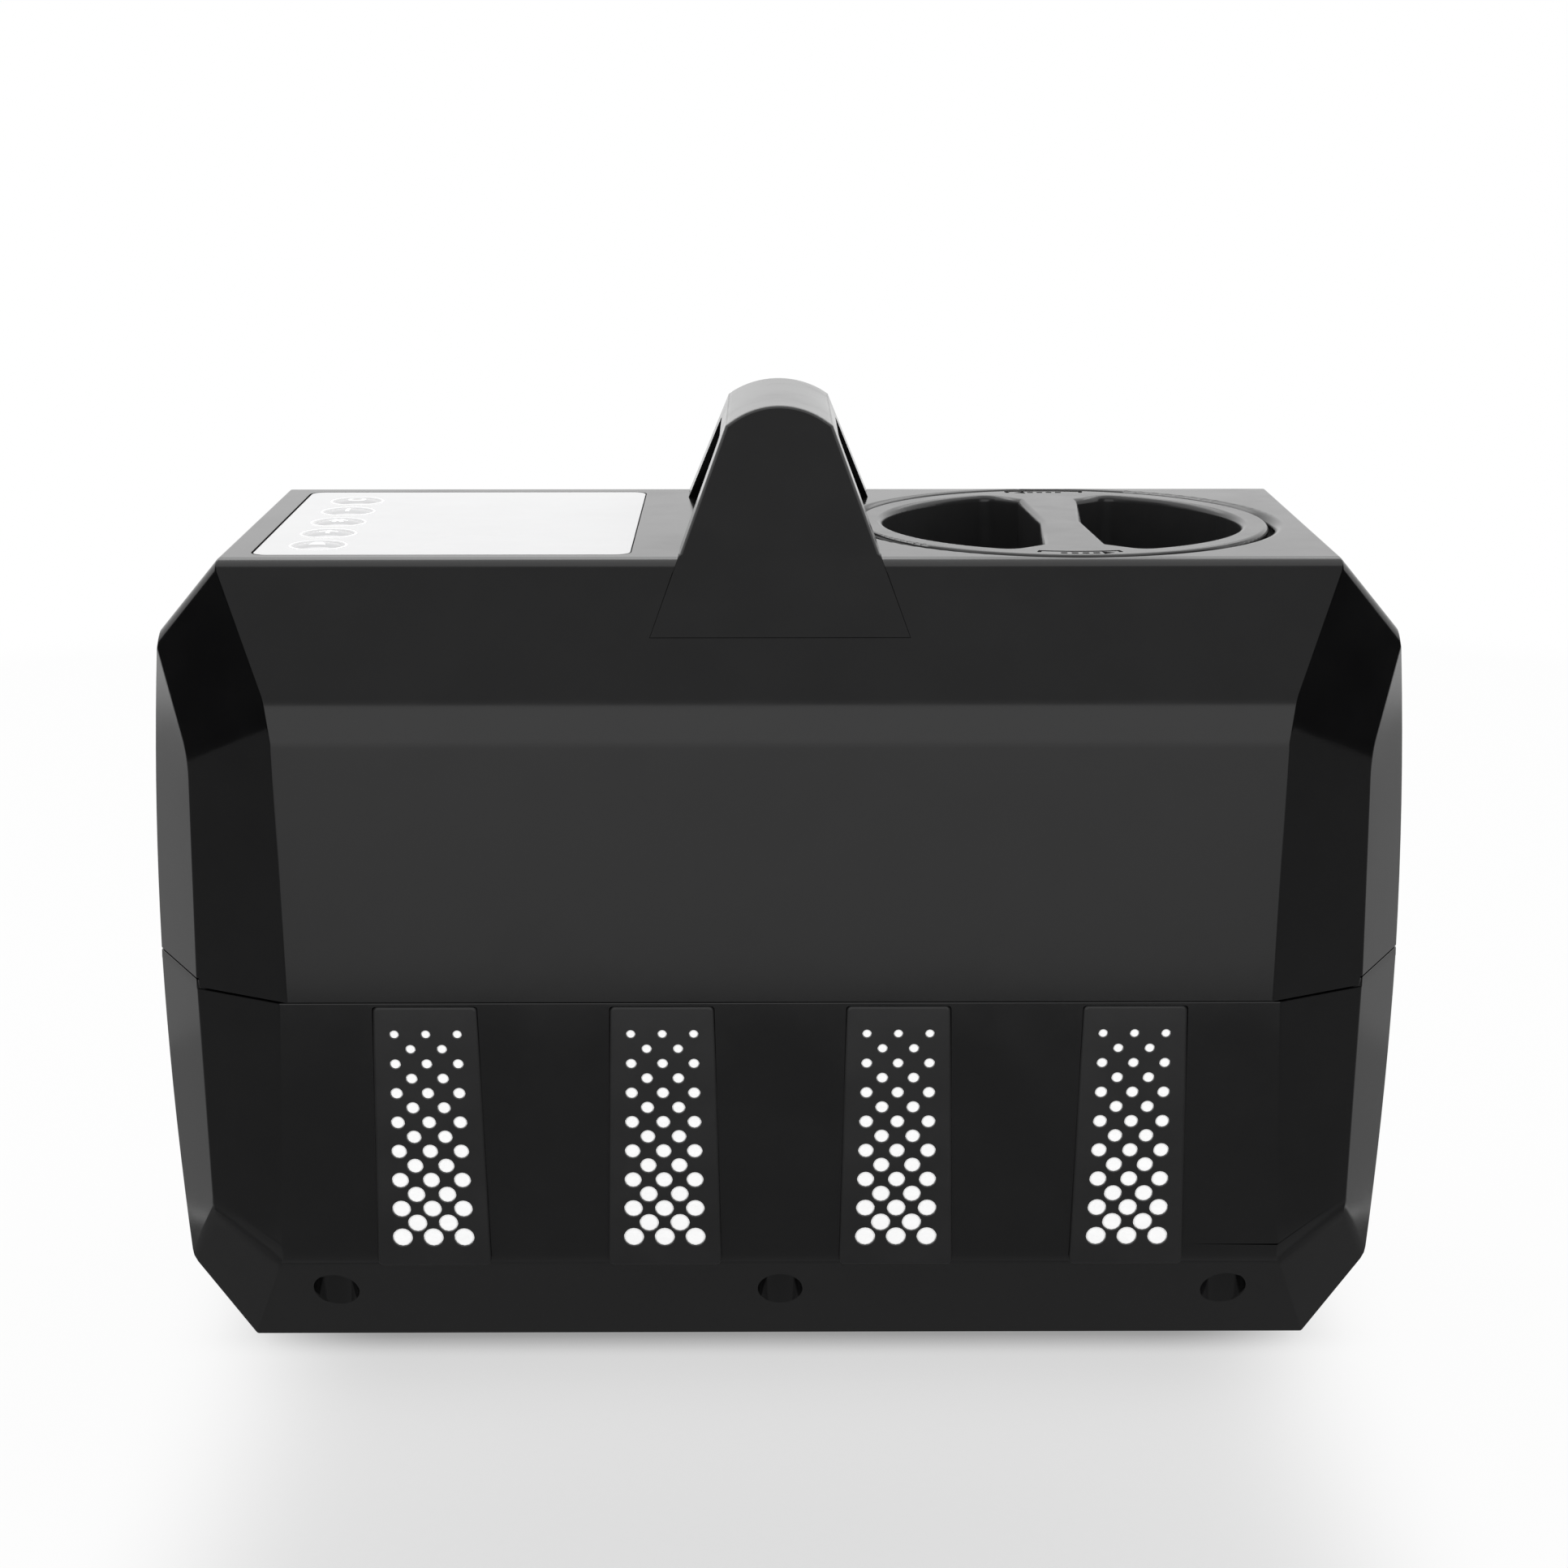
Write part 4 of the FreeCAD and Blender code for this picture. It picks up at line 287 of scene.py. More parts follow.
@dataclass(frozen=True)
class Finish:
    """A surface finish with its usual slot, colours, gloss and relief."""

    name: str
    slot: str
    colour: Spot
    shade: Spot
    roughness: float
    spread: float = 0.06
    effect: Effect = Effect.GRAIN
    size: float = 2600.0
    relief: float = 2e-5
    smudge: float = 0.05
    rub: float = 0.0
    dust: float = 0.0
    metallic: float = 0.0
    ior: float = 1.45
    coat: float = 0.0
    coat_roughness: float = 0.1
    sheen: float = 0.0
    # Painted light: emission that makes a part shine though it is no lamp.
    painted_glow: float = 0.0
    transmission: float = 0.0

    def material(self) -> bpy.types.Material:
        """Makes the material, or gives the one already made.

        Returns:
            The material.
        """
        ready = bpy.data.materials.get(self.name)
        if ready is not None and ready.get("finish"):
            return ready
        material, tree, shader = new_material(self.name)
        material["finish"] = True
        height, tone = tree.place(self.effect, self.size)
        smudge, rub = tree.place(Effect.HANDLING, SMUDGE_SPREAD)
        dust = tree.place(Effect.DUST, self.dust)[0]
        rough = self.roughness - self.spread / 2
        for mask, weight in ((tone, self.spread), (smudge, self.smudge), (rub, -self.rub)):
            rough = tree.math("ADD", rough, tree.math("MULTIPLY", mask, weight))
        dusted = tree.math("MULTIPLY", dust, DUST_ROUGHNESS)
        rough = tree.math("ADD", rough, dusted, clamp=True)
        bump = tree.add("ShaderNodeBump", {"Strength": 1.0, "Distance": self.relief,
                                           "Height": height})
        colour = tree.mix(dust, tree.mix(tone, self.shade, self.colour), DUST_COLOUR)
        tree.feed(shader, {
            "Base Color": colour, "Roughness": rough, "Normal": bump.outputs["Normal"],
            "Metallic": self.metallic, "IOR": self.ior, "Coat Weight": self.coat,
            "Coat Roughness": self.coat_roughness, "Sheen Weight": self.sheen,
            "Transmission Weight": self.transmission})
        # Painted glow: the base colour is also given out as emission.
        if self.painted_glow > 0:
            tree.feed(shader, {"Emission Color": (*self.colour, 1.0),
                               "Emission Strength": self.painted_glow})
        return material


CASE = Finish("case_plastic", "case_grey", (0.007, 0.007, 0.0073), (0.0052, 0.0052, 0.0055), 0.15,
              0.03, relief=4e-6, smudge=0.04, dust=0.02, rub=0.03, ior=1.55)
LID = Finish("lid_plastic", "lid_grey", (0.042, 0.042, 0.0426), (0.035, 0.035, 0.0356), 0.20, 0.04,
             relief=4e-6, dust=0.02, rub=0.03, ior=1.52)
VENT = Finish("vent_plastic", "vent_grey", (0.0215, 0.0215, 0.022), (0.0175, 0.0175, 0.018), 0.34,
              relief=6e-6, ior=1.50)
FASCIA = Finish("fascia_gloss", "fascia_white", (0.90, 0.90, 0.91), (0.87, 0.87, 0.88), 0.16, 0.03,
                size=1500.0, relief=2e-6, smudge=0.06, coat=0.5, coat_roughness=0.06)
KEY = Finish("key_gloss", "button_grey", (0.68, 0.68, 0.69), (0.64, 0.64, 0.65), 0.15, 0.03,
             size=1800.0, relief=2e-6, smudge=0.03, coat=0.5)
# Painted glow: the white marks and button rings give out light as a painted highlight, though no
# lamp.
KEY_MARK_PAINTED_GLOW = Finish("key_mark_painted_glow", "fascia_white", (0.95, 0.95, 0.95), (0.93, 0.93, 0.93), 0.30, 0.03,
                  size=1800.0, relief=2e-6, painted_glow=0.30)
# Flat dark matte with almost no reflection: for the lid's marks, and as painted shade on the thin
# sheets laid over the fascia gap and the handle joint.
DARK_MARK_AND_GAP_SHADE = Finish("dark_mark_and_painted_gap_shade", "seal_rubber", (0.012, 0.012, 0.012), (0.008, 0.008, 0.008), 0.85,
                relief=4e-6, smudge=0.0, ior=1.04)
SCREW = Finish("zinc_steel", "screw_steel", (0.42, 0.42, 0.44), (0.33, 0.33, 0.35), 0.34, 0.10,
               Effect.BRUSH, 700.0, 1e-5, metallic=1.0)
RUBBER = Finish("soft_rubber", "seal_rubber", (0.016, 0.016, 0.016), (0.01, 0.01, 0.01), 0.66, 0.10,
                size=1700.0, relief=4e-5, dust=0.08)
FOAM = Finish("closed_cell_foam", "foam", (0.05, 0.05, 0.055), (0.025, 0.025, 0.028), 0.85, 0.08,
              Effect.CELLS, 900.0, 12e-5, sheen=0.1)
SOCKET = Finish("socket_moulding", "socket_grey", (0.022, 0.022, 0.024), (0.017, 0.017, 0.019),
                0.42, relief=1e-5, dust=0.02)
# Painted glow: the mat gives out light so the holes stay white, though it is no lamp.
FILTER_WITH_PAINTED_GLOW = Finish("white_fibre_painted_glow", "filter_white", (0.93, 0.93, 0.93), (0.86, 0.86, 0.86), 0.80, 0.08,
                Effect.WEAVE, 800.0, 6e-5, sheen=0.3, painted_glow=0.55)
CONTACT = Finish("plated_contact", "spacer_brass", (0.70, 0.60, 0.36), (0.60, 0.50, 0.28), 0.24,
                 0.08, Effect.BRUSH, 1500.0, 4e-6, metallic=1.0)
PORT_RING = Finish("port_ring", "socket_grey", (0.30, 0.31, 0.33), (0.25, 0.26, 0.28), 0.34,
                   size=2000.0)

SLOT_FINISHES: Dict[str, Finish] = {finish.slot: finish for finish in (
    CASE, LID, VENT, FASCIA, KEY, SCREW, RUBBER, FOAM, SOCKET, FILTER_WITH_PAINTED_GLOW,
    Finish("inner_moulding", "inner_plastic", (0.06, 0.06, 0.064), (0.048, 0.048, 0.052), 0.50,
           size=2000.0, dust=0.05),
    Finish("tank_moulding", "tank_plastic", (0.74, 0.77, 0.79), (0.68, 0.71, 0.74), 0.30, 0.08,
           size=900.0, coat=0.2),
    Finish("stainless_probe", "probe_steel", (0.58, 0.58, 0.59), (0.50, 0.50, 0.51), 0.24, 0.08,
           Effect.BRUSH, 1200.0, 4e-6, metallic=1.0),
    Finish("extruded_aluminium", "sink_aluminium", (0.72, 0.73, 0.74), (0.62, 0.63, 0.64), 0.32,
           0.10, Effect.BRUSH, 900.0, 6e-6, metallic=1.0),
    Finish("module_ceramic", "module_ceramic", (0.84, 0.84, 0.81), (0.78, 0.78, 0.75), 0.55,
           size=1500.0),
    Finish("galvanised_sheet", "bracket_steel", (0.52, 0.53, 0.55), (0.40, 0.41, 0.43), 0.36, 0.14,
           size=260.0, relief=4e-6, metallic=1.0),
    Finish("blue_moulding", "impeller_plastic", (0.06, 0.22, 0.48), (0.045, 0.18, 0.40), 0.34,
           size=2000.0),
    Finish("solder_mask", "board_green", (0.014, 0.13, 0.055), (0.01, 0.095, 0.04), 0.30, 0.06,
           Effect.BRUSH, 320.0, 1e-5, coat=0.4),
    Finish("turned_brass", "spacer_brass", (0.62, 0.46, 0.20), (0.52, 0.38, 0.16), 0.26, 0.08,
           Effect.BRUSH, 1500.0, 4e-6, metallic=1.0),
    Finish("ribbon_cable", "ribbon_white", (0.70, 0.70, 0.70), (0.58, 0.58, 0.58), 0.45, 0.08,
           Effect.BRUSH, 1400.0, 3e-5),
    Finish("lead_jacket", "lead_black", (0.012, 0.012, 0.012), (0.009, 0.009, 0.009), 0.52,
           size=1800.0),
    Finish("clear_soft_tube", "clear_tube", (0.80, 0.84, 0.85), (0.74, 0.79, 0.80), 0.16, 0.06,
           size=900.0, relief=6e-6, coat=0.5, transmission=0.35),
    Finish("air_hose", "air_hose", (0.03, 0.03, 0.031), (0.022, 0.022, 0.023), 0.58, size=1500.0),
)}


# ---- making meshes ----
class Shade(Enum):
    """Angle in degrees up to which a piece's faces are smoothed together."""

    CRISP = 30.0
    SOFT = 40.0


def linked(name: str, data: bpy.types.ID) -> Piece:
    """Makes an object of some data and puts it in the scene.

    Args:
        name: Name of the object.
        data: Its mesh, lamp or camera.

    Returns:
        The object.
    """
    thing = bpy.data.objects.new(name, data)
    bpy.context.scene.collection.objects.link(thing)
    return thing


def baked(shape: Shape, name: str) -> bpy.types.Mesh:
    """Writes a shape to mesh data and frees it.

    Args:
        shape: The shape.
        name: Name of the data.

    Returns:
        The data.
    """
    data = bpy.data.meshes.new(name)
    shape.to_mesh(data)
    shape.free()
    return data


def finished(shape: Shape, name: str, finish: Finish, nodes: Sequence[str] = (),
             shade: Shade = Shade.CRISP, body: str = "case") -> Piece:
    """Turns a shape into a piece that rides on a body.

    Args:
        shape: The shape, in metres; it is freed.
        name: Name of the piece.
        finish: Its finish.
        nodes: Nodes that it stands for.
        shade: How its faces are smoothed.
        body: Body that it rides on.

    Returns:
        The new object.
    """
    for face in shape.faces:
        face.smooth = True
    data = baked(shape, name)
    stale = data.attributes.get("custom_normal")
    if stale is not None:
        data.attributes.remove(stale)
    data.set_sharp_from_angle(angle=radians(shade.value))
    data.materials.append(finish.material())
    piece = linked(name, data)
    piece.modifiers.new("weighted", "WEIGHTED_NORMAL").keep_sharp = True
    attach(piece, body)
    if nodes:
        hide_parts(*nodes)
    return piece


def at(x: float, y: float, z: float) -> Matrix:
    """Matrix that moves by x, y and z."""
    return Matrix.Translation((x, y, z))


def turned(degrees: float, axis: str = "Z") -> Matrix:
    """Matrix that turns about an axis."""
    return Matrix.Rotation(radians(degrees), 4, axis)


def placed(shape: Shape, matrix: Matrix) -> Shape:
    """Moves a whole shape by a matrix and gives it back."""
    bmesh.ops.transform(shape, matrix=matrix, verts=shape.verts)
    return shape


def rounded(shape: Shape, items: Iterable[object], width: float, segments: int = 2,
            affect: str = "EDGES") -> None:
    """Bevels edges or corners to a round.

    Args:
        shape: The shape.
        items: Edges or corners to round.
        width: Width of the bevel in metres.
        segments: Faces across the round.
        affect: EDGES, or VERTICES for corners.
    """
    bmesh.ops.bevel(shape, geom=list(items), offset=width, offset_type="OFFSET", profile=0.5,
                    segments=segments, affect=affect, clamp_overlap=affect == "VERTICES",
                    material=-1)


def node_shape(node: str) -> Shape:
    """Copies a node's mesh with its loose triangles joined and flat faces made whole.

    Args:
        node: Name of the node.

    Returns:
        The shape.
    """
    shape = bmesh.new()
    shape.from_mesh(frame["nodes"][node].data)
    bmesh.ops.remove_doubles(shape, verts=shape.verts, dist=0.005 * MM)
    bmesh.ops.dissolve_degenerate(shape, dist=0.0001 * MM, edges=shape.edges)
    bmesh.ops.dissolve_limit(shape, angle_limit=radians(0.4), use_dissolve_boundaries=False,
                             verts=shape.verts, edges=shape.edges, delimit={"NORMAL"})
    return shape


def crisp_edges(shape: Shape, least_angle: float, least_length: float = 0.0,
                keep: Callable[[Vector], bool] = lambda end: True) -> List[Edge]:
    """Finds outward edges worth rounding.

    Args:
        shape: The shape.
        least_angle: Smallest angle between the faces, in degrees.
        least_length: Shortest edge, in metres.
        keep: Test that both ends have to pass.

    Returns:
        The edges.
    """
    return [edge for edge in shape.edges
            if edge.is_manifold and edge.is_convex and edge.calc_length() >= least_length
            and edge.calc_face_angle(0.0) >= radians(least_angle)
            and all(keep(vert.co) for vert in edge.verts)]


def rounded_outline(shape: Shape, corners: Sequence[Pair], radius: float,
                    segments: int = 5) -> List[Edge]:
    """Adds a closed flat outline with rounded corners.

    Args:
        shape: The shape to add to.
        corners: Corners in the XY plane.
        radius: Corner radius.
        segments: Edges in each corner.

    Returns:
        The outline's edges.
    """
    verts = [shape.verts.new((x, y, 0.0)) for x, y in corners]
    shape.faces.new(verts)
    rounded(shape, verts, radius, segments, "VERTICES")
    shape.faces.ensure_lookup_table()
    face = shape.faces[-1]
    edges = list(face.edges)
    bmesh.ops.delete(shape, geom=[face], context="FACES_ONLY")
    return edges


def faced_up(shape: Shape) -> Shape:
    """Turns a flat shape over if it faces down.

    Args:
        shape: The shape.

    Returns:
        The same shape.
    """
    if sum(face.normal.z for face in shape.faces) < 0:
        bmesh.ops.reverse_faces(shape, faces=shape.faces)
    return shape


def filled(shape: Shape, edges: Sequence[Edge]) -> Shape:
    """Fills flat outlines with faces that look up, and gives the shape back."""
    bmesh.ops.triangle_fill(shape, use_beauty=True, edges=edges, normal=(0, 0, 1))
    return faced_up(shape)


def raised(shape: Shape, height: float, depth: float) -> Shape:
    """Moves a flat shape up and extrudes it downwards into a closed plate.

    Args:
        shape: The flat shape, facing +Z.
        height: How far up it goes, in metres.
        depth: Thickness of the plate.

    Returns:
        The shape.
    """
    bmesh.ops.translate(shape, vec=(0, 0, height), verts=shape.verts)
    top = list(shape.faces)
    made = bmesh.ops.extrude_face_region(shape, geom=top)
    lower = [item for item in made["geom"] if isinstance(item, bmesh.types.BMVert)]
    bmesh.ops.translate(shape, vec=(0, 0, -depth), verts=lower)
    bmesh.ops.reverse_faces(shape, faces=top)
    bmesh.ops.recalc_face_normals(shape, faces=shape.faces)
    return shape


def lathe(profile: Sequence[Pair], steps: int = 48, unit: float = MM) -> Shape:
    """Spins a profile about Z.

    Args:
        profile: Radius and height of each point.
        steps: Faces round the axis.
        unit: Length of the profile's unit in metres.

    Returns:
        The spun shape.
    """
    shape = bmesh.new()
    verts = [shape.verts.new((r * unit, 0.0, z * unit)) for r, z in profile]
    edges = [shape.edges.new(pair) for pair in zip(verts, verts[1:])]
    bmesh.ops.spin(shape, geom=verts + edges, cent=(0, 0, 0), axis=(0, 0, 1), angle=2 * pi,
                   steps=steps, use_merge=True)
    bmesh.ops.remove_doubles(shape, verts=shape.verts, dist=0.001 * MM)
    bmesh.ops.recalc_face_normals(shape, faces=shape.faces)
    return shape


def block(size: Spot, centre: Spot, round_by: float, segments: int = 2) -> Shape:
    """Makes a box with rounded edges.

    Args:
        size: Lengths along X, Y and Z.
        centre: Its middle.
        round_by: Width of the rounding.
        segments: Faces across it.

    Returns:
        The shape.
    """
    shape = bmesh.new()
    bmesh.ops.create_cube(shape, size=1.0, matrix=at(*centre) @ Matrix.Diagonal((*size, 1.0)))
    rounded(shape, shape.edges, round_by, segments)
    return shape


def joined(shapes: Sequence[Shape]) -> Shape:
    """Puts shapes in the first one of them, and frees the others.

    Args:
        shapes: Shapes to join.

    Returns:
        The first shape.
    """
    whole = shapes[0]
    for extra in shapes[1:]:
        data = baked(extra, "joining")
        whole.from_mesh(data)
        bpy.data.meshes.remove(data)
    return whole


# ---- studio ----
BLACK, WHITE = (0.0, 0.0, 0.0, 1.0), (1.0, 1.0, 1.0, 1.0)


@dataclass(frozen=True)
class Card:
    """A plain card that only reflections see; one with a place along X has a mirrored twin."""

    name: str
    centre: Spot
    size: Pair
    shade: float
    hinge: str = ""

    def sides(self) -> Sequence[Tuple[str, float]]:
        """Name and place along X of the card, or of it and its twin."""
        x = self.centre[0]
        return ((self.name + "_left", -x), (self.name + "_right", x)) if x else ((self.name, x),)

    def matrix(self, x: float) -> Matrix:
        """Place at x, turn and size of the card; a hinge axis stands it up."""
        turn = turned(90.0, self.hinge) if self.hinge else Matrix.Identity(4)
        return at(x, *self.centre[1:]) @ turn @ Matrix.Diagonal((*self.size, 1.0, 1.0))


@dataclass
class Studio:
    """Camera, pale floor, soft lamp, reflection cards and the surrounding light."""

    lens: float = 67.502
    sensor: float = 36.0
    eye: Spot = (-0.00348, -0.8618, 0.3771)
    pitch: float = 14.159
    yaw: float = 0.333
    front_light: float = 0.50
    back_light: float = 1.0
    light_turn: Pair = (0.1, 0.6)
    floor_radius: float = 5.0
    paper: Tuple[Spot, Spot] = ((0.90, 0.90, 0.90), (0.93, 0.93, 0.93))
    far_fade: Pair = (0.45, 1.15)
    beside: Pair = (0.10, 0.20)
    behind: Pair = (-0.06, 0.06)
    contact: Pair = (-0.060, -0.043)
    before: Pair = (-0.22, -0.09)
    shadow_kept: float = 0.375
    contact_kept: float = 0.70
    before_kept: float = 0.58
    clear_white: float = 0.95
    lamp_size: Pair = (1.3, 1.0)
    lamp_place: Spot = (0.0, 0.30, 1.35)
    lamp_power: float = 5.0
    cards: Tuple[Card, ...] = (
        Card("card", (0.46, -0.315, 0.4535), (0.595, 0.63), 0.01, "Y"),
        Card("card_skirt", (0.46, -0.24, 0.0785), (0.153, 0.78), 0.16, "Y"),
        Card("card_above", (0.0, -0.725, 1.5), (2.4, 0.85), 0.37),
        Card("card_above_front", (0.0, -1.26, 1.5), (2.4, 0.22), 0.44),
        Card("card_behind", (0.0, 2.0, 2.06), (3.4, 1.27), 2.4, "X"),
        Card("card_low_front", (0.0, -0.205, 0.002), (0.46, 0.25), 0.22),
        Card("card_low", (0.35, -0.265, 0.002), (0.24, 0.37), 0.17),
        Card("card_under", (0.0, -0.025, 0.002), (0.47, 0.11), 0.12),
        Card("card_mid", (0.43, 0.03, 0.002), (0.38, 0.22), 0.27),
        Card("card_back", (0.47, 0.62, 0.002), (0.60, 0.96), 0.36),
    )

    def build(self) -> None:
        """Sets up everything that isn't the object."""
        bpy.context.scene.view_settings.view_transform = "Standard"
        self.camera()
        self.world()
        self.floor()
        self.lamp()
        for card in self.cards:
            for name, x in card.sides():
                self.hang(card, name, x)

    def camera(self) -> None:
        """Places the camera."""
        data = bpy.data.cameras.new("camera")
        data.lens, data.sensor_width = self.lens, self.sensor
        data.clip_start, data.clip_end = 0.01, 50.0
        camera = linked("camera", data)
        camera.location = self.eye
        camera.rotation_euler = (radians(90.0 - self.pitch), 0.0, -radians(self.yaw))
        bpy.context.scene.camera = camera

    def world(self) -> None:
        """Lights the room evenly, brighter from behind, before a white background."""
        world = bpy.data.worlds.new("room")
        bpy.context.scene.world = world
        world.use_nodes = True
        tree = Tree(world.node_tree)
        level = tree.ramp(tree.axes(tree.where("Generated"))[1], *self.light_turn,
                          self.front_light, self.back_light)
        tree.feed(tree.nodes["Background"], {
            "Color": WHITE, "Strength": tree.math("MAXIMUM", level, tree.seen())})

    def floor(self) -> None:
        """Lays a white floor that keeps the shadow and runs out into the background."""
        sheet = bmesh.new()
        bmesh.ops.create_circle(sheet, cap_ends=True, segments=96, radius=self.floor_radius)
        floor = linked("floor", baked(sheet, "floor"))
        material, tree, shader = new_material("floor_paper")
        floor.data.materials.append(material)
        where = tree.where()
        paper = tree.mix(tree.noise(where, 240.0, 4.0, 0.6), *self.paper)
        tree.feed(shader, {"Roughness": 0.9, "Specular IOR Level": 0.1, "Base Color": paper})
        white = tree.add("ShaderNodeEmission", {"Strength": 1.0})
        blend = tree.add("ShaderNodeMixShader", {0: self.whiteness(tree, where),
                                                 1: shader.outputs[0], 2: white.outputs[0]})
        tree.feed(tree.nodes["Material Output"], {0: blend.outputs[0]})

    def whiteness(self, tree: Tree, where: Socket) -> Socket:
        """Share of plain white in the floor: all of it far out, less where the shadow falls.

        Args:
            tree: The floor's node tree.
            where: Coordinates on the floor.

        Returns:
            The share, from zero to one.
        """
        far = tree.add("ShaderNodeVectorMath", {0: where}, operation="LENGTH").outputs["Value"]
        fade = tree.math("MULTIPLY", tree.ramp(far, *self.far_fade), tree.seen())
        x, y, _ = tree.axes(where)
        clear = tree.math("MAXIMUM", tree.ramp(tree.math("ABSOLUTE", x), *self.beside),
                          tree.ramp(y, *self.behind))
        kept = tree.math("MAXIMUM",
                         tree.ramp(y, *self.contact, self.shadow_kept, self.contact_kept),
                         tree.ramp(y, *self.before, self.before_kept, self.shadow_kept))
        near = tree.ramp(clear, 0.0, 1.0, tree.math("SUBTRACT", 1.0, kept), self.clear_white)
        near = tree.math("MULTIPLY", near, tree.ray("Camera"))
        return tree.math("MAXIMUM", fade, near, clamp=True)

    def lamp(self) -> None:
        """Hangs one large soft lamp above and a little behind, which gloss doesn't mirror."""
        data = bpy.data.lights.new("soft_lamp", "AREA")
        data.shape = "RECTANGLE"
        data.size, data.size_y = self.lamp_size
        data.energy = self.lamp_power
        lamp = linked("soft_lamp", data)
        lamp.visible_glossy = False
        lamp.location = place = Vector(self.lamp_place)
        lamp.rotation_euler = (-atan2(place.y, place.z), 0.0, 0.0)

    def hang(self, card: Card, name: str, x: float) -> None:
        """Adds one reflection card.

        Args:
            card: The card.
            name: Its name.
            x: Its place along X.
        """
        sheet = bmesh.new()
        bmesh.ops.create_grid(sheet, x_segments=1, y_segments=1, size=0.5, matrix=card.matrix(x))
        hung = linked(name, baked(sheet, name))
        material, tree, shader = new_material(name)
        tree.feed(shader, {"Base Color": BLACK, "Specular IOR Level": 0.0, "Emission Color": WHITE,
                           "Emission Strength": card.shade})
        hung.data.materials.append(material)
        for ray in ("camera", "diffuse", "shadow", "transmission"):
            setattr(hung, "visible_" + ray, False)


# ---- case ----
@dataclass
class Case:
    """Upper and lower shell and the carry handle, with their edges broken."""

    edge: float = 0.4 * MM
    edge_angle: float = 18.0
    least_edge: float = 0.02 * MM
    facet_limits: Tuple[Pair, ...] = ((132 * MM, 6 * MM * MM), (150 * MM, 2.5 * MM * MM))
    handle_round: float = 1.0 * MM
    handle_angle: float = 24.0
    handle_free: float = 1.0 * MM
    deck: float = 240.0 * MM
    crease: Pair = (80.0 * MM, 45.5 * MM)
    crease_near: float = 0.1 * MM
    bend_corner: Pair = (96.25 * MM, 201.7 * MM)
    slope_turn: float = 38.49
    face_turn: float = -4.1
    moulded_bend: float = 30.0 * MM
    moulded_near: float = 0.03 * MM
    shown_bend: float = 19.0 * MM
    # Painted shade: a thin dark band laid over the joint at the handle's feet.
    joint_shade_width: float = 0.22 * MM
    joint_shade_rise: float = 0.03 * MM
    joint_shade_depth: float = 0.3 * MM
    joint_shade_foot: Spot = (35.2 * MM, -80.9 * MM, 221.0 * MM)
    joint_shade_head: Pair = (29.17 * MM, 20.0 * MM)

    def build(self) -> List[Piece]:
        """Makes the three large mouldings and the painted shade over the joint between two of them.
        """
        return [self.shell("upper"), self.shell("lower"), self.handle(), self.handle_seams()]

    def shell(self, half: str) -> Piece:
        """Makes a shell with broken outer edges, the rounded bend and the crease below its panels.

        Args:
            half: Upper or lower.

        Returns:
            The piece.
        """
        shape = node_shape(half + "_housing")
        self.tighten_bend(shape)
        rounded(shape, self.outer_edges(shape), self.edge)
        piece = finished(shape, "case_" + half, CASE, [half + "_housing"])
        least_y, z = self.crease
        for edge in piece.data.edges:
            ends = [piece.data.vertices[i].co for i in edge.vertices]
            if all(abs(end.z - z) < self.crease_near and abs(end.y) > least_y for end in ends):
                edge.use_edge_sharp = True
        return piece

    def tighten_bend(self, shape: Shape) -> None:
        """Draws the bend between slope and face to the tighter round that it shows.

        Args:
            shape: The upper shell.
        """
        low, high = radians(self.face_turn), radians(self.slope_turn)
        facing = Vector((cos((high + low) / 2), sin((high + low) / 2))) / cos((high - low) / 2)
        old, new = (Vector(self.bend_corner) - facing * radius
                    for radius in (self.moulded_bend, self.shown_bend))
        for vert in shape.verts:
            spot = Vector((abs(vert.co.y), vert.co.z))
            arm = spot - old
            if (abs(arm.length - self.moulded_bend) > self.moulded_near
                    or not low < atan2(arm.y, arm.x) < high):
                continue
            arm = spot - new
            turn = min(max(atan2(arm.y, arm.x), low), high)
            facing = Vector((cos(turn), sin(turn)))
            moved = facing * (self.shown_bend - arm.dot(facing))
            shift = Vector((0.0, copysign(moved.x, vert.co.y), moved.y))
            side = sum((face.normal * face.calc_area() for face in vert.link_faces
                        if abs(face.normal.x) > 0.2), Vector())
            if side.length > 0:
                shift.x = -(shift.y * side.y + shift.z * side.z) / side.x
            vert.co += shift

    def outer_edges(self, shape: Shape) -> List[Edge]:
        """Finds the long edges between large outer facets of a shell.

        Args:
            shape: The shell.

        Returns:
            Edges to break.
        """
        found = []
        for edge in crisp_edges(shape, self.edge_angle, self.least_edge):
            least = min(face.calc_area() for face in edge.link_faces)
            reach = max(abs(vert.co.x) for vert in edge.verts)
            if any(reach > limit and least > area for limit, area in self.facet_limits):
                found.append(edge)
        return found

    def handle(self) -> Piece:
        """Makes the bridge handle, rounded where it stands free of the case.

        Returns:
            The piece.
        """
        shape = node_shape("carry_handle")
        free = self.deck + self.handle_free
        bmesh.ops.bisect_plane(shape, geom=[*shape.verts, *shape.edges, *shape.faces], dist=1e-6,
                               plane_co=(0, 0, free), plane_no=(0, 0, 1))
        edges = [edge for edge in crisp_edges(shape, self.handle_angle,
                                              keep=lambda end: end.z > free - 0.1 * MM)
                 if any(abs(face.normal.y) > 0.5 and face.normal.z > 0.3
                        for face in edge.link_faces)]
        rounded(shape, edges, self.handle_round, 4)
        return finished(shape, "bridge_handle", CASE, ["carry_handle"], Shade.SOFT)

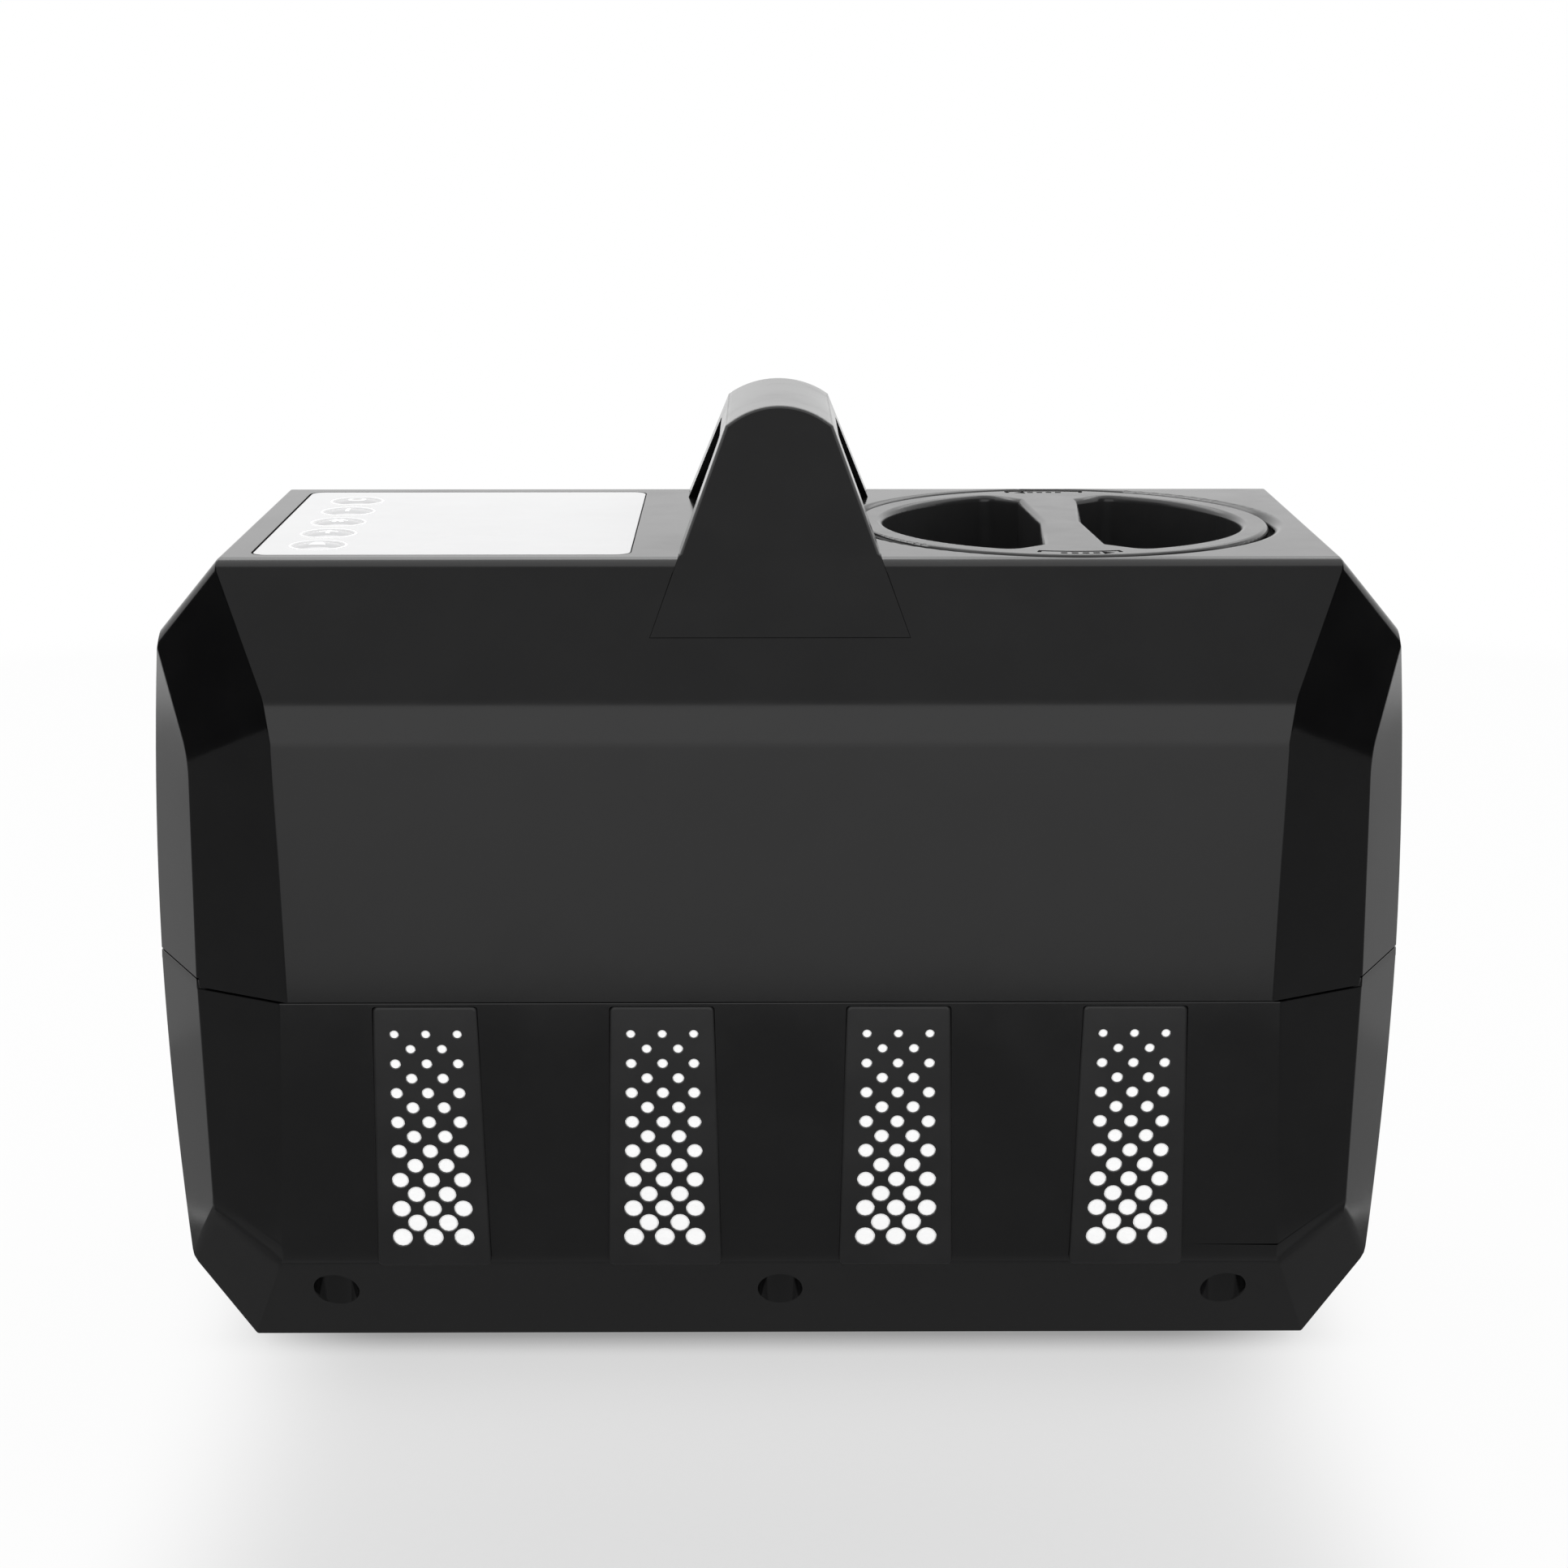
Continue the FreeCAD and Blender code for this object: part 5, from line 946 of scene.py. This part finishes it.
    def handle_seams(self) -> Piece:
        """Makes the fine dark band of painted shade over the joint where the handle is let into
        both slopes.

        Returns:
            The piece.
        """
        foot, y, z = self.joint_shade_foot
        head, rise = self.joint_shade_head
        lean = at(0, y, z) @ turned(90.0 - self.slope_turn, "X")
        shapes = []
        for turn in (0.0, 180.0):
            shape, edges = bmesh.new(), []
            for grow in (0.0, self.joint_shade_width):
                path = [shape.verts.new((*spot, 0.0)) for spot in (
                    (-head - grow, rise), (-foot - grow, -grow),
                    (foot + grow, -grow), (head + grow, rise))]
                edges += [shape.edges.new(pair) for pair in zip(path, path[1:])]
            bmesh.ops.bridge_loops(shape, edges=edges)
            raised(faced_up(shape), self.joint_shade_rise, self.joint_shade_depth)
            shapes.append(placed(shape, turned(turn) @ lean))
        return finished(joined(shapes), "handle_joint_shade", DARK_MARK_AND_GAP_SHADE)


# ---- vents ----
@dataclass
class VentStrips:
    """Four perforated strips with a white fibre mat behind each, which has a painted glow."""

    centres: Tuple[float, ...] = (-98.25 * MM, -32.75 * MM, 32.75 * MM, 98.25 * MM)
    top: float = 118.8 * MM
    front_at_top: float = 89.419 * MM
    lean: float = 3.65
    length: float = 78.96 * MM
    top_width: float = 28.8 * MM
    bottom_width: float = 31.8 * MM
    corner: float = 1.6 * MM
    skin: float = 1.2 * MM
    rim: float = 1.5 * MM
    depth: float = 5.0 * MM
    edge: float = 1.0 * MM
    close_gap: float = 0.22 * MM
    rows: int = 15
    first_row: float = 8.2 * MM
    row_pitch: float = 4.43 * MM
    pitch: float = 8.72 * MM
    small: float = 2.6 * MM
    large: float = 5.7 * MM
    sides: int = 20
    mat_in: float = 0.2 * MM
    mat_gap: float = 1.4 * MM
    mat: float = 3.0 * MM
    stud_gap: float = 0.12 * MM
    stud_low: float = 1.5 * MM
    stud_below: float = 0.2 * MM
    stud_sides: int = 14
    stud_steps: Tuple[Pair, ...] = ((0.0, 0.75), (0.14, 0.25))

    def build(self) -> List[Piece]:
        """Makes every strip and the mats."""
        return [self.strip(i, x) for i, x in enumerate(self.centres, start=1)] + [self.mats()]

    def place(self, x: float) -> Matrix:
        """Matrix from a strip's own plane, top edge at the origin and +Z outwards, to the case."""
        return at(x, -self.front_at_top, self.top) @ turned(90.0 + self.lean, "X")

    def holes(self) -> List[Spot]:
        """Lists the holes.

        Returns:
            Place across, place down and radius of each hole.
        """
        found = []
        for row in range(self.rows):
            count = 3 - row % 2
            radius = (self.small + (self.large - self.small) * row / (self.rows - 1)) / 2
            down = -self.first_row - row * self.row_pitch
            found += [((i - (count - 1) / 2) * self.pitch, down, radius) for i in range(count)]
        return found

    def outline(self, shape: Shape, grow: float) -> List[Edge]:
        """Adds the strip's outline to a shape.

        Args:
            shape: The shape.
            grow: How far outwards it is moved.

        Returns:
            Its edges.
        """
        a, b = self.top_width / 2 + grow, self.bottom_width / 2 + grow
        low = -self.length - grow
        return rounded_outline(shape, [(-b, low), (b, low), (a, grow), (-a, grow)], self.corner)

    def strip(self, number: int, x: float) -> Piece:
        """Makes one perforated strip.

        Args:
            number: Number of the strip from the left.
            x: Its middle line.

        Returns:
            The piece.
        """
        skin = bmesh.new()
        edges = self.outline(skin, self.close_gap)
        for across, down, radius in self.holes():
            ring = bmesh.ops.create_circle(skin, cap_ends=False, segments=self.sides, radius=radius,
                                           matrix=at(across, down, 0.0))
            edges += list({edge for vert in ring["verts"] for edge in vert.link_edges})
        raised(filled(skin, edges), 0.0, self.skin)
        rim = bmesh.new()
        filled(rim, self.outline(rim, self.close_gap))
        inner = bmesh.ops.inset_region(rim, faces=rim.faces[:], thickness=self.rim,
                                       use_even_offset=True)
        kept = set(inner["faces"])
        bmesh.ops.delete(rim, geom=[face for face in rim.faces if face not in kept],
                         context="FACES")
        raised(rim, -self.skin, self.depth - self.skin)
        shape = joined([skin, rim])
        lip = [edge for edge in crisp_edges(shape, 60.0, keep=lambda end: end.z > -0.001 * MM)
               if self.on_outline(*(vert.co for vert in edge.verts))]
        rounded(shape, lip, self.edge, 4)
        return finished(placed(shape, self.place(x)), f"vent_strip_{number}", VENT,
                        [f"vent_grille_{number}"])

    def on_outline(self, a: Vector, b: Vector) -> bool:
        """Whether an edge from a to b in the strip's plane bounds the strip."""
        return (min(abs(a.x), abs(b.x)) > self.top_width / 2 - 1.0 * MM
                or max(a.y, b.y) > -0.1 * MM or min(a.y, b.y) < 0.1 * MM - self.length)

    def mats(self) -> Piece:
        """Makes the four fibre mats, bulging a little into the holes, with a painted glow.

        Returns:
            The piece.
        """
        shapes = []
        for x in self.centres:
            mat = bmesh.new()
            filled(mat, self.outline(mat, -self.rim - self.mat_in))
            raised(mat, -self.mat_gap, self.mat)
            for across, down, radius in self.holes():
                self.stud(mat, across, down, radius - self.stud_gap)
            shapes.append(placed(mat, self.place(x)))
        piece = finished(joined(shapes), "filter_mats", FILTER_WITH_PAINTED_GLOW, ["vent_filters"], Shade.SOFT)
        return piece

    def stud(self, shape: Shape, across: float, down: float, radius: float) -> None:
        """Adds the low bulge of the mat in one hole.

        Args:
            shape: The mat's shape.
            across: Place of the hole across the strip.
            down: Place of the hole down the strip.
            radius: Radius of the bulge.
        """
        ring = bmesh.ops.create_circle(shape, cap_ends=True, segments=self.stud_sides,
                                       radius=radius, matrix=at(across, down, -self.stud_low))
        cap = {face for vert in ring["verts"] for face in vert.link_faces}
        for share, rise in self.stud_steps:
            made = bmesh.ops.extrude_face_region(shape, geom=list(cap))["geom"]
            verts = [item for item in made if isinstance(item, bmesh.types.BMVert)]
            bmesh.ops.delete(shape, geom=[face for face in cap if face.is_valid],
                             context="FACES_ONLY")
            cap = {item for item in made if isinstance(item, bmesh.types.BMFace)}
            height = (self.stud_low - self.stud_below) * rise
            bmesh.ops.translate(shape, vec=(0, 0, height), verts=verts)
            bmesh.ops.transform(shape, matrix=Matrix.Diagonal((1 - share, 1 - share, 1.0, 1.0)),
                                verts=verts, space=at(-across, -down, 0))


# ---- display and buttons ----
class Icon(Enum):
    """Plain raised marks on the five buttons, from the back to the front."""

    RING, BAR, STAR, PLUS, WEDGE = range(1, 6)


@dataclass
class Display:
    """White fascia ringed by painted gap shade, with a rim of painted glow round each of the five
    domed buttons.
    """

    deck: float = 240.0 * MM
    edge: float = 0.35 * MM
    edge_band: float = 2.0 * MM
    centre: Pair = (-93.7 * MM, -1.0 * MM)
    size: Pair = (104.7 * MM, 116.6 * MM)
    corner: float = 4.5 * MM
    # Painted shade: width, shift, rise and depth of the dark band over the fascia gap.
    seal: float = 0.25 * MM
    seal_shift: float = 0.20 * MM
    seal_rise: float = 0.02 * MM
    seal_depth: float = 0.4 * MM
    button_x: float = -129.7 * MM
    middle_y: float = -2.4 * MM
    pitch: float = 20.4 * MM
    radius: float = 7.6 * MM
    dome: float = 26.0 * MM
    dome_shares: Tuple[float, ...] = (0.0, 0.15, 0.3, 0.45, 0.6, 0.72, 0.82, 0.90, 0.96, 0.985)
    rim_drop: float = 0.5 * MM
    flange: float = 1.2 * MM
    flange_gap: float = 0.3 * MM
    fascia_t: float = 2.4 * MM
    stem: float = 2.0 * MM
    ring: Tuple[Pair, ...] = ((7.64, -0.6), (7.64, 0.096), (7.76, 0.16), (8.04, 0.16),
                              (8.2, 0.048), (8.2, -0.1), (7.64, -0.6))
    mark_sunk: float = 0.1 * MM
    mark_t: float = 0.18 * MM
    mark_ring: Pair = (1.7 * MM, 2.8 * MM)
    mark_bar: Pair = (5.6 * MM, 1.2 * MM)
    mark_wedge: float = 3.0 * MM

    def build(self) -> List[Piece]:
        """Makes the fascia, its seal, the rings and the buttons.

        Returns:
            Makes the fascia, the painted shade over its gap, the rings and the buttons.
        """
        made = [self.fascia(), self.fascia_seal(), self.rings()]
        for icon in Icon:
            made += self.button(icon)
        return made

    def spot(self, icon: Icon, z: float = 0.0) -> Matrix:
        """Place of a button; the first is at the back."""
        return at(self.button_x, self.middle_y + (3 - icon.value) * self.pitch, z)

    def fascia(self) -> Piece:
        """Makes the fascia with a bright broken edge.

        Returns:
            The piece.
        """
        shape = node_shape("display_panel")
        low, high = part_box("display_panel")
        rim = crisp_edges(shape, 60.0, keep=lambda end: end.z > high.z - TOUCH and min(
            end.x - low.x, high.x - end.x, end.y - low.y, high.y - end.y) < self.edge_band)
        rounded(shape, rim, self.edge, 3)
        return finished(shape, "display_fascia", FASCIA, ["display_panel"])

    def outline(self, shape: Shape, grow: float, shift: float = 0.0) -> List[Edge]:
        """Adds the fascia's outline to a shape.

        Args:
            shape: The shape.
            grow: How far outwards it is moved.
            shift: How far to the left it is moved.

        Returns:
            Its edges.
        """
        (long, wide), x, y = self.size, self.centre[0] - shift, self.centre[1]
        return rounded_outline(shape, [
            (x + sx * (long / 2 + grow), y + sy * (wide / 2 + grow))
            for sx, sy in ((-1, -1), (1, -1), (1, 1), (-1, 1))], self.corner + grow, 8)

    def fascia_seal(self) -> Piece:
        """Makes the thin dark band of painted shade laid over the gap round the fascia.

        Returns:
            The piece.
        """
        shape = bmesh.new()
        edges = self.outline(shape, 0.0) + self.outline(shape, self.seal, self.seal_shift)
        raised(filled(shape, edges), self.deck + self.seal_rise, self.seal_depth)
        return finished(shape, "fascia_seal", DARK_MARK_AND_GAP_SHADE)

    def rings(self) -> Piece:
        """Makes the low ring round each button, white with a painted glow as its highlight."""
        shapes = [placed(lathe(self.ring, 56), self.spot(icon, self.deck)) for icon in Icon]
        return finished(joined(shapes), "button_rings", KEY_MARK_PAINTED_GLOW, shade=Shade.SOFT)

    def dome_z(self, radius: float) -> float:
        """Height of a button's dome at a distance from its middle."""
        rim = self.deck - self.rim_drop - sqrt(self.dome ** 2 - self.radius ** 2)
        return rim + sqrt(self.dome ** 2 - radius ** 2)

    def button(self, icon: Icon) -> List[Piece]:
        """Makes one button and its raised mark.

        Args:
            icon: Which button.

        Returns:
            The cap and the mark.
        """
        node, body = f"button_{icon.value}", f"key_{icon.value}"
        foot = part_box(node)[0].z
        edge, rim, wide = self.radius, self.dome_z(self.radius), self.radius + self.flange
        under = self.deck - self.fascia_t - self.flange_gap
        low = under - self.flange
        profile = [(edge * share, self.dome_z(edge * share)) for share in self.dome_shares]
        profile += [(edge - 0.02 * MM, rim + 0.01 * MM), (edge, rim - 0.1 * MM), (edge, under),
                    (wide, under), (wide, low), (self.stem, low), (self.stem, foot), (0.0, foot)]
        cap = finished(placed(lathe(profile, 64, 1.0), self.spot(icon)),
                       f"button_cap_{icon.value}", KEY, [node], Shade.SOFT, body)
        shape = self.mark(icon)
        bmesh.ops.subdivide_edges(shape, edges=shape.edges[:], cuts=2, use_grid_fill=True)
        for vert in shape.verts:
            vert.co.z += self.dome_z(hypot(vert.co.x, vert.co.y)) - self.mark_sunk
        # The mark's finish carries a painted glow.
        mark = finished(placed(shape, self.spot(icon)), f"button_mark_{icon.value}", KEY_MARK_PAINTED_GLOW,
                        body=body)
        return [cap, mark]

    def mark(self, icon: Icon) -> Shape:
        """Makes the raised mark of a button about the origin.

        Args:
            icon: Which mark.

        Returns:
            The shape.
        """
        rise, (inner, outer), (long, line) = self.mark_t, self.mark_ring, self.mark_bar
        if icon is Icon.RING:
            return lathe([(inner, 0.0), (inner, rise), (outer, rise), (outer, 0.0), (inner, 0.0)],
                         28, 1.0)
        if icon is Icon.WEDGE:
            shape = bmesh.new()
            bmesh.ops.create_circle(shape, cap_ends=True, segments=4, radius=self.mark_wedge,
                                    matrix=turned(45.0))
            for vert in shape.verts:
                vert.co.x *= 0.55 if vert.co.y > 0 else 1.15
            return raised(faced_up(shape), rise, rise)
        turns = {Icon.BAR: (90.0,), Icon.PLUS: (0.0, 90.0), Icon.STAR: (0.0, 60.0, 120.0)}[icon]
        return joined([placed(block((long, line, rise), (0, 0, rise / 2), 0.03 * MM, 1),
                              turned(turn)) for turn in turns])


# ---- lid ----
@dataclass
class Lid:
    """Round lid with finger wells and its turning marks."""

    axis_x: float = 83.4 * MM
    deck: float = 240.0 * MM
    ends: Tuple[Spot, ...] = ((90.0, 58.4 * MM, -1.0), (270.0, 54.6 * MM, 1.0))
    half_angle: float = 12.0
    line: float = 1.2 * MM
    tick: Spot = (1.1 * MM, 2.2 * MM, 0.55)
    tick_in: float = 0.4
    dash: Spot = (2.7 * MM, 1.5 * MM, 0.9)
    dash_turns: Tuple[float, ...] = (-4.6, -1.6, 1.4, 4.4)
    head_turn: float = 7.4
    head_radius: float = 2.1 * MM
    rise: float = 0.03 * MM
    depth: float = 0.06 * MM

    def build(self) -> List[Piece]:
        """Makes the lid and the marks on it."""
        cap = finished(node_shape("lid_cap"), "lid_top", LID, ["lid_cap"], body="lid")
        return [cap, self.marks()]

    def marks(self) -> Piece:
        """Makes a bracket with a dashed arrow at each end of the bridge.

        Returns:
            The piece.
        """
        tick_at, tick_long, tick_half = self.tick
        dash_at, dash_wide, dash_half = self.dash
        shapes = []
        for turn, radius, hook in self.ends:
            group = [self.sweep(radius, self.line, self.half_angle)]
            for side in (-1, 1):
                tick = self.sweep(radius + hook * tick_at, tick_long, tick_half)
                group.append(placed(tick, turned(side * (self.half_angle - self.tick_in))))
            inside = radius + hook * dash_at
            group += [placed(self.sweep(inside, dash_wide, dash_half), turned(step))
                      for step in self.dash_turns]
            head = bmesh.new()
            bmesh.ops.create_circle(head, cap_ends=True, segments=3, radius=self.head_radius)
            group.append(placed(faced_up(head), turned(self.head_turn) @ at(inside, 0, 0)))
            shapes.append(placed(joined(group), turned(turn)))
        whole = placed(joined(shapes), at(self.axis_x, 0, 0))
        raised(whole, self.deck + self.rise, self.depth)
        return finished(whole, "lid_turn_marks", DARK_MARK_AND_GAP_SHADE, body="lid")

    def sweep(self, radius: float, width: float, half_angle: float) -> Shape:
        """Makes a flat arc centred on +X.

        Args:
            radius: Middle radius.
            width: Width of the line.
            half_angle: Half of the angle that it spans, in degrees.

        Returns:
            The arc.
        """
        shape = bmesh.new()
        start = radians(-half_angle)
        ends = [shape.verts.new((r * cos(start), r * sin(start), 0.0))
                for r in (radius - width / 2, radius + width / 2)]
        bmesh.ops.spin(shape, geom=[shape.edges.new(ends)], cent=(0, 0, 0), axis=(0, 0, 1),
                       angle=radians(2 * half_angle), steps=16)
        bmesh.ops.recalc_face_normals(shape, faces=shape.faces)
        return faced_up(shape)


# ---- hose side ----
@dataclass
class HoseSide:
    """Hose socket with its port rings, release button and the power inlet."""

    socket: Pair = (-62.0 * MM, 86.0 * MM)
    socket_half: Pair = (27.0 * MM, 18.0 * MM)
    face_y: float = 83.6 * MM
    port_z: float = 80.0 * MM
    port_pitch: float = 16.0 * MM
    port_ring: Tuple[Pair, ...] = ((4.0, -0.4), (4.2, 0.5), (5.3, 0.5), (5.6, 0.2), (5.6, -0.4))
    inlet_x: float = -104.0 * MM
    inlet_depth: float = 12.0 * MM
    pin: Tuple[Pair, ...] = ((0.0, 5.0), (0.4, 4.9), (0.6, 4.5), (0.6, 0.0), (0.0, 0.0))
    pin_off: float = 3.0 * MM
    rib: Spot = (1.0 * MM, 0.7 * MM, 4.6 * MM)
    rib_round: float = 0.25 * MM
    rib_y: float = 86.2 * MM
    rib_z: float = 96.0 * MM
    rib_pitch: float = 3.0 * MM

    def build(self) -> List[Piece]:
        """Makes the pieces on the hose side.

        Returns:
            The pieces.
        """
        socket = self.softened("hose_socket", 0.3 * MM, 0.5 * MM, 2, self.outside_ports)
        body = finished(socket, "hose_socket_body", SOCKET, ["hose_socket"])
        rings = finished(joined([
            placed(lathe(self.port_ring),
                   self.out(self.socket[0] + i * self.port_pitch, self.face_y, self.port_z))
            for i in (-1, 0, 1)]), "hose_port_rings", PORT_RING, shade=Shade.SOFT)
        release = self.softened("hose_release", 0.2 * MM, 0.7 * MM, 3)
        release = finished(release, "release_button", PORT_RING, ["hose_release"], Shade.SOFT,
                           "release")
        ribs = finished(joined([
            block(self.rib, (self.socket[0] + i * self.rib_pitch, self.rib_y, self.rib_z),
                  self.rib_round)
            for i in (-1, 0, 1)]), "release_ribs", PORT_RING, (), Shade.SOFT, "release")
        inlet = finished(self.softened("power_inlet", 0.2 * MM, 0.4 * MM, 2), "power_inlet_body",
                         SOCKET, ["power_inlet"])
        pins = finished(joined([
            placed(lathe(self.pin, 16),
                   self.out(self.inlet_x + x, self.face_y - self.inlet_depth, self.port_z + z))
            for x in (-self.pin_off, self.pin_off) for z in (-self.pin_off, self.pin_off)]),
            "power_pins", CONTACT, shade=Shade.SOFT)
        return [body, rings, release, ribs, inlet, pins]

    def out(self, x: float, y: float, z: float) -> Matrix:
        """Matrix that turns +Z outwards and moves by x, y and z."""
        return at(x, y, z) @ turned(-90.0, "X")

    def outside_ports(self, end: Vector) -> bool:
        """Whether a place is near the socket's outline, and not at a port."""
        return (abs(end.x - self.socket[0]) > self.socket_half[0]
                or abs(end.z - self.socket[1]) > self.socket_half[1])

    def softened(self, node: str, least: float, width: float, segments: int,
                 keep: Callable[[Vector], bool] = lambda end: True) -> Shape:
        """Copies a node's mesh and rounds the edges of its outermost face.

        Args:
            node: Name of the node.
            least: Shortest edge to round.
            width: Bevel width.
            segments: Faces across the round.
            keep: Test that both ends of an edge have to pass.

        Returns:
            The shape.
        """
        shape = node_shape(node)
        outer = max(vert.co.y for vert in shape.verts) - TOUCH
        edges = crisp_edges(shape, 60.0, least, lambda end: end.y > outer and keep(end))
        rounded(shape, edges, width, segments)
        return shape


# ---- underside ----
@dataclass
class Underside:
    """Rubber feet with a tread, and the case screws."""

    foot: Pair = (138.0 * MM, 32.0 * MM)
    foot_profile: Tuple[Pair, ...] = (
        (0.0, 0.5), (2.4, 0.5), (2.6, 0.0), (4.6, 0.0), (4.8, 0.5), (5.8, 0.5), (6.0, 0.0),
        (8.2, 0.0), (9.0, 0.8), (9.0, 3.0), (3.0, 3.0), (3.0, 6.8), (0.0, 6.8))
    well: Pair = (128.6 * MM, 69.7 * MM)
    head_low: float = 113.0 * MM
    screw_profile: Tuple[Pair, ...] = (
        (0.0, 1.2), (0.6, 0.1), (2.0, 0.05), (3.2, 0.35), (4.2, 1.1), (4.2, 3.0), (1.6, 3.0),
        (1.6, 18.4), (0.0, 18.8))
    slot_size: Spot = (3.6 * MM, 0.9 * MM, 0.3 * MM)
    slot_turn: float = 0.3

    def build(self) -> List[Piece]:
        """Makes four feet with ring grooves, and six screws with a cross in the head.

        Returns:
            The pieces.
        """
        foot_x, foot_y = self.foot
        feet = [placed(lathe(self.foot_profile, 40), at(x, y, 0.0))
                for x in (-foot_x, foot_x) for y in (-foot_y, foot_y)]
        feet = finished(joined(feet), "feet_treads", RUBBER, ["rubber_feet"])
        well_x, well_y = self.well
        shapes = []
        for spot in (at(x, y, self.head_low) for x in (-well_x, 0.0, well_x)
                     for y in (-well_y, well_y)):
            shapes.append(placed(lathe(self.screw_profile, 32), spot))
            for turn in (self.slot_turn, self.slot_turn + pi / 2):
                slot = block(self.slot_size, (0, 0, 0.05 * MM), 0.1 * MM)
                shapes.append(placed(slot, spot @ Matrix.Rotation(turn, 4, "Z")))
        return [feet, finished(joined(shapes), "case_screws", SCREW, ["base_screws"])]


# ---- inside ----
@dataclass
class Inside:
    """Everything within the case: carried-over nodes and the foam jacket."""

    jacket_edge: float = 1.5 * MM
    least_edge: float = 6.0 * MM

    def build(self) -> List[Piece]:
        """Softens the foam jacket.

        Returns:
            The piece, in a list.
        """
        jacket = node_shape("tank_insulation")
        rounded(jacket, crisp_edges(jacket, 60.0, self.least_edge), self.jacket_edge)
        piece = finished(jacket, "tank_jacket", FOAM, ["tank_insulation"], Shade.SOFT)
        return [piece]

    def dress(self) -> int:
        """Gives every node its finish.

        Returns:
            How many nodes were dressed.
        """
        slots = {part["node"]: part["material_slot"] for part in frame["record"]["subparts"]}
        for name, node in frame["nodes"].items():
            node.data.materials.clear()
            node.data.materials.append(SLOT_FINISHES[slots[name]].material())
        return len(slots)


def main() -> None:
    """Builds the studio and every sub-assembly, and reports each piece."""
    logging.basicConfig(level=logging.INFO, format="%(message)s")
    Studio().build()
    inside = Inside()
    log.info("nodes dressed: %d", inside.dress())
    for assembly in (Case(), VentStrips(), Display(), Lid(), HoseSide(), Underside(), inside):
        for piece in assembly.build():
            log.info("%-12s %-20s %6d faces", type(assembly).__name__, piece.name,
                     len(piece.data.polygons))
    bpy.context.view_layer.update()


if __name__ == "__main__":
    main()
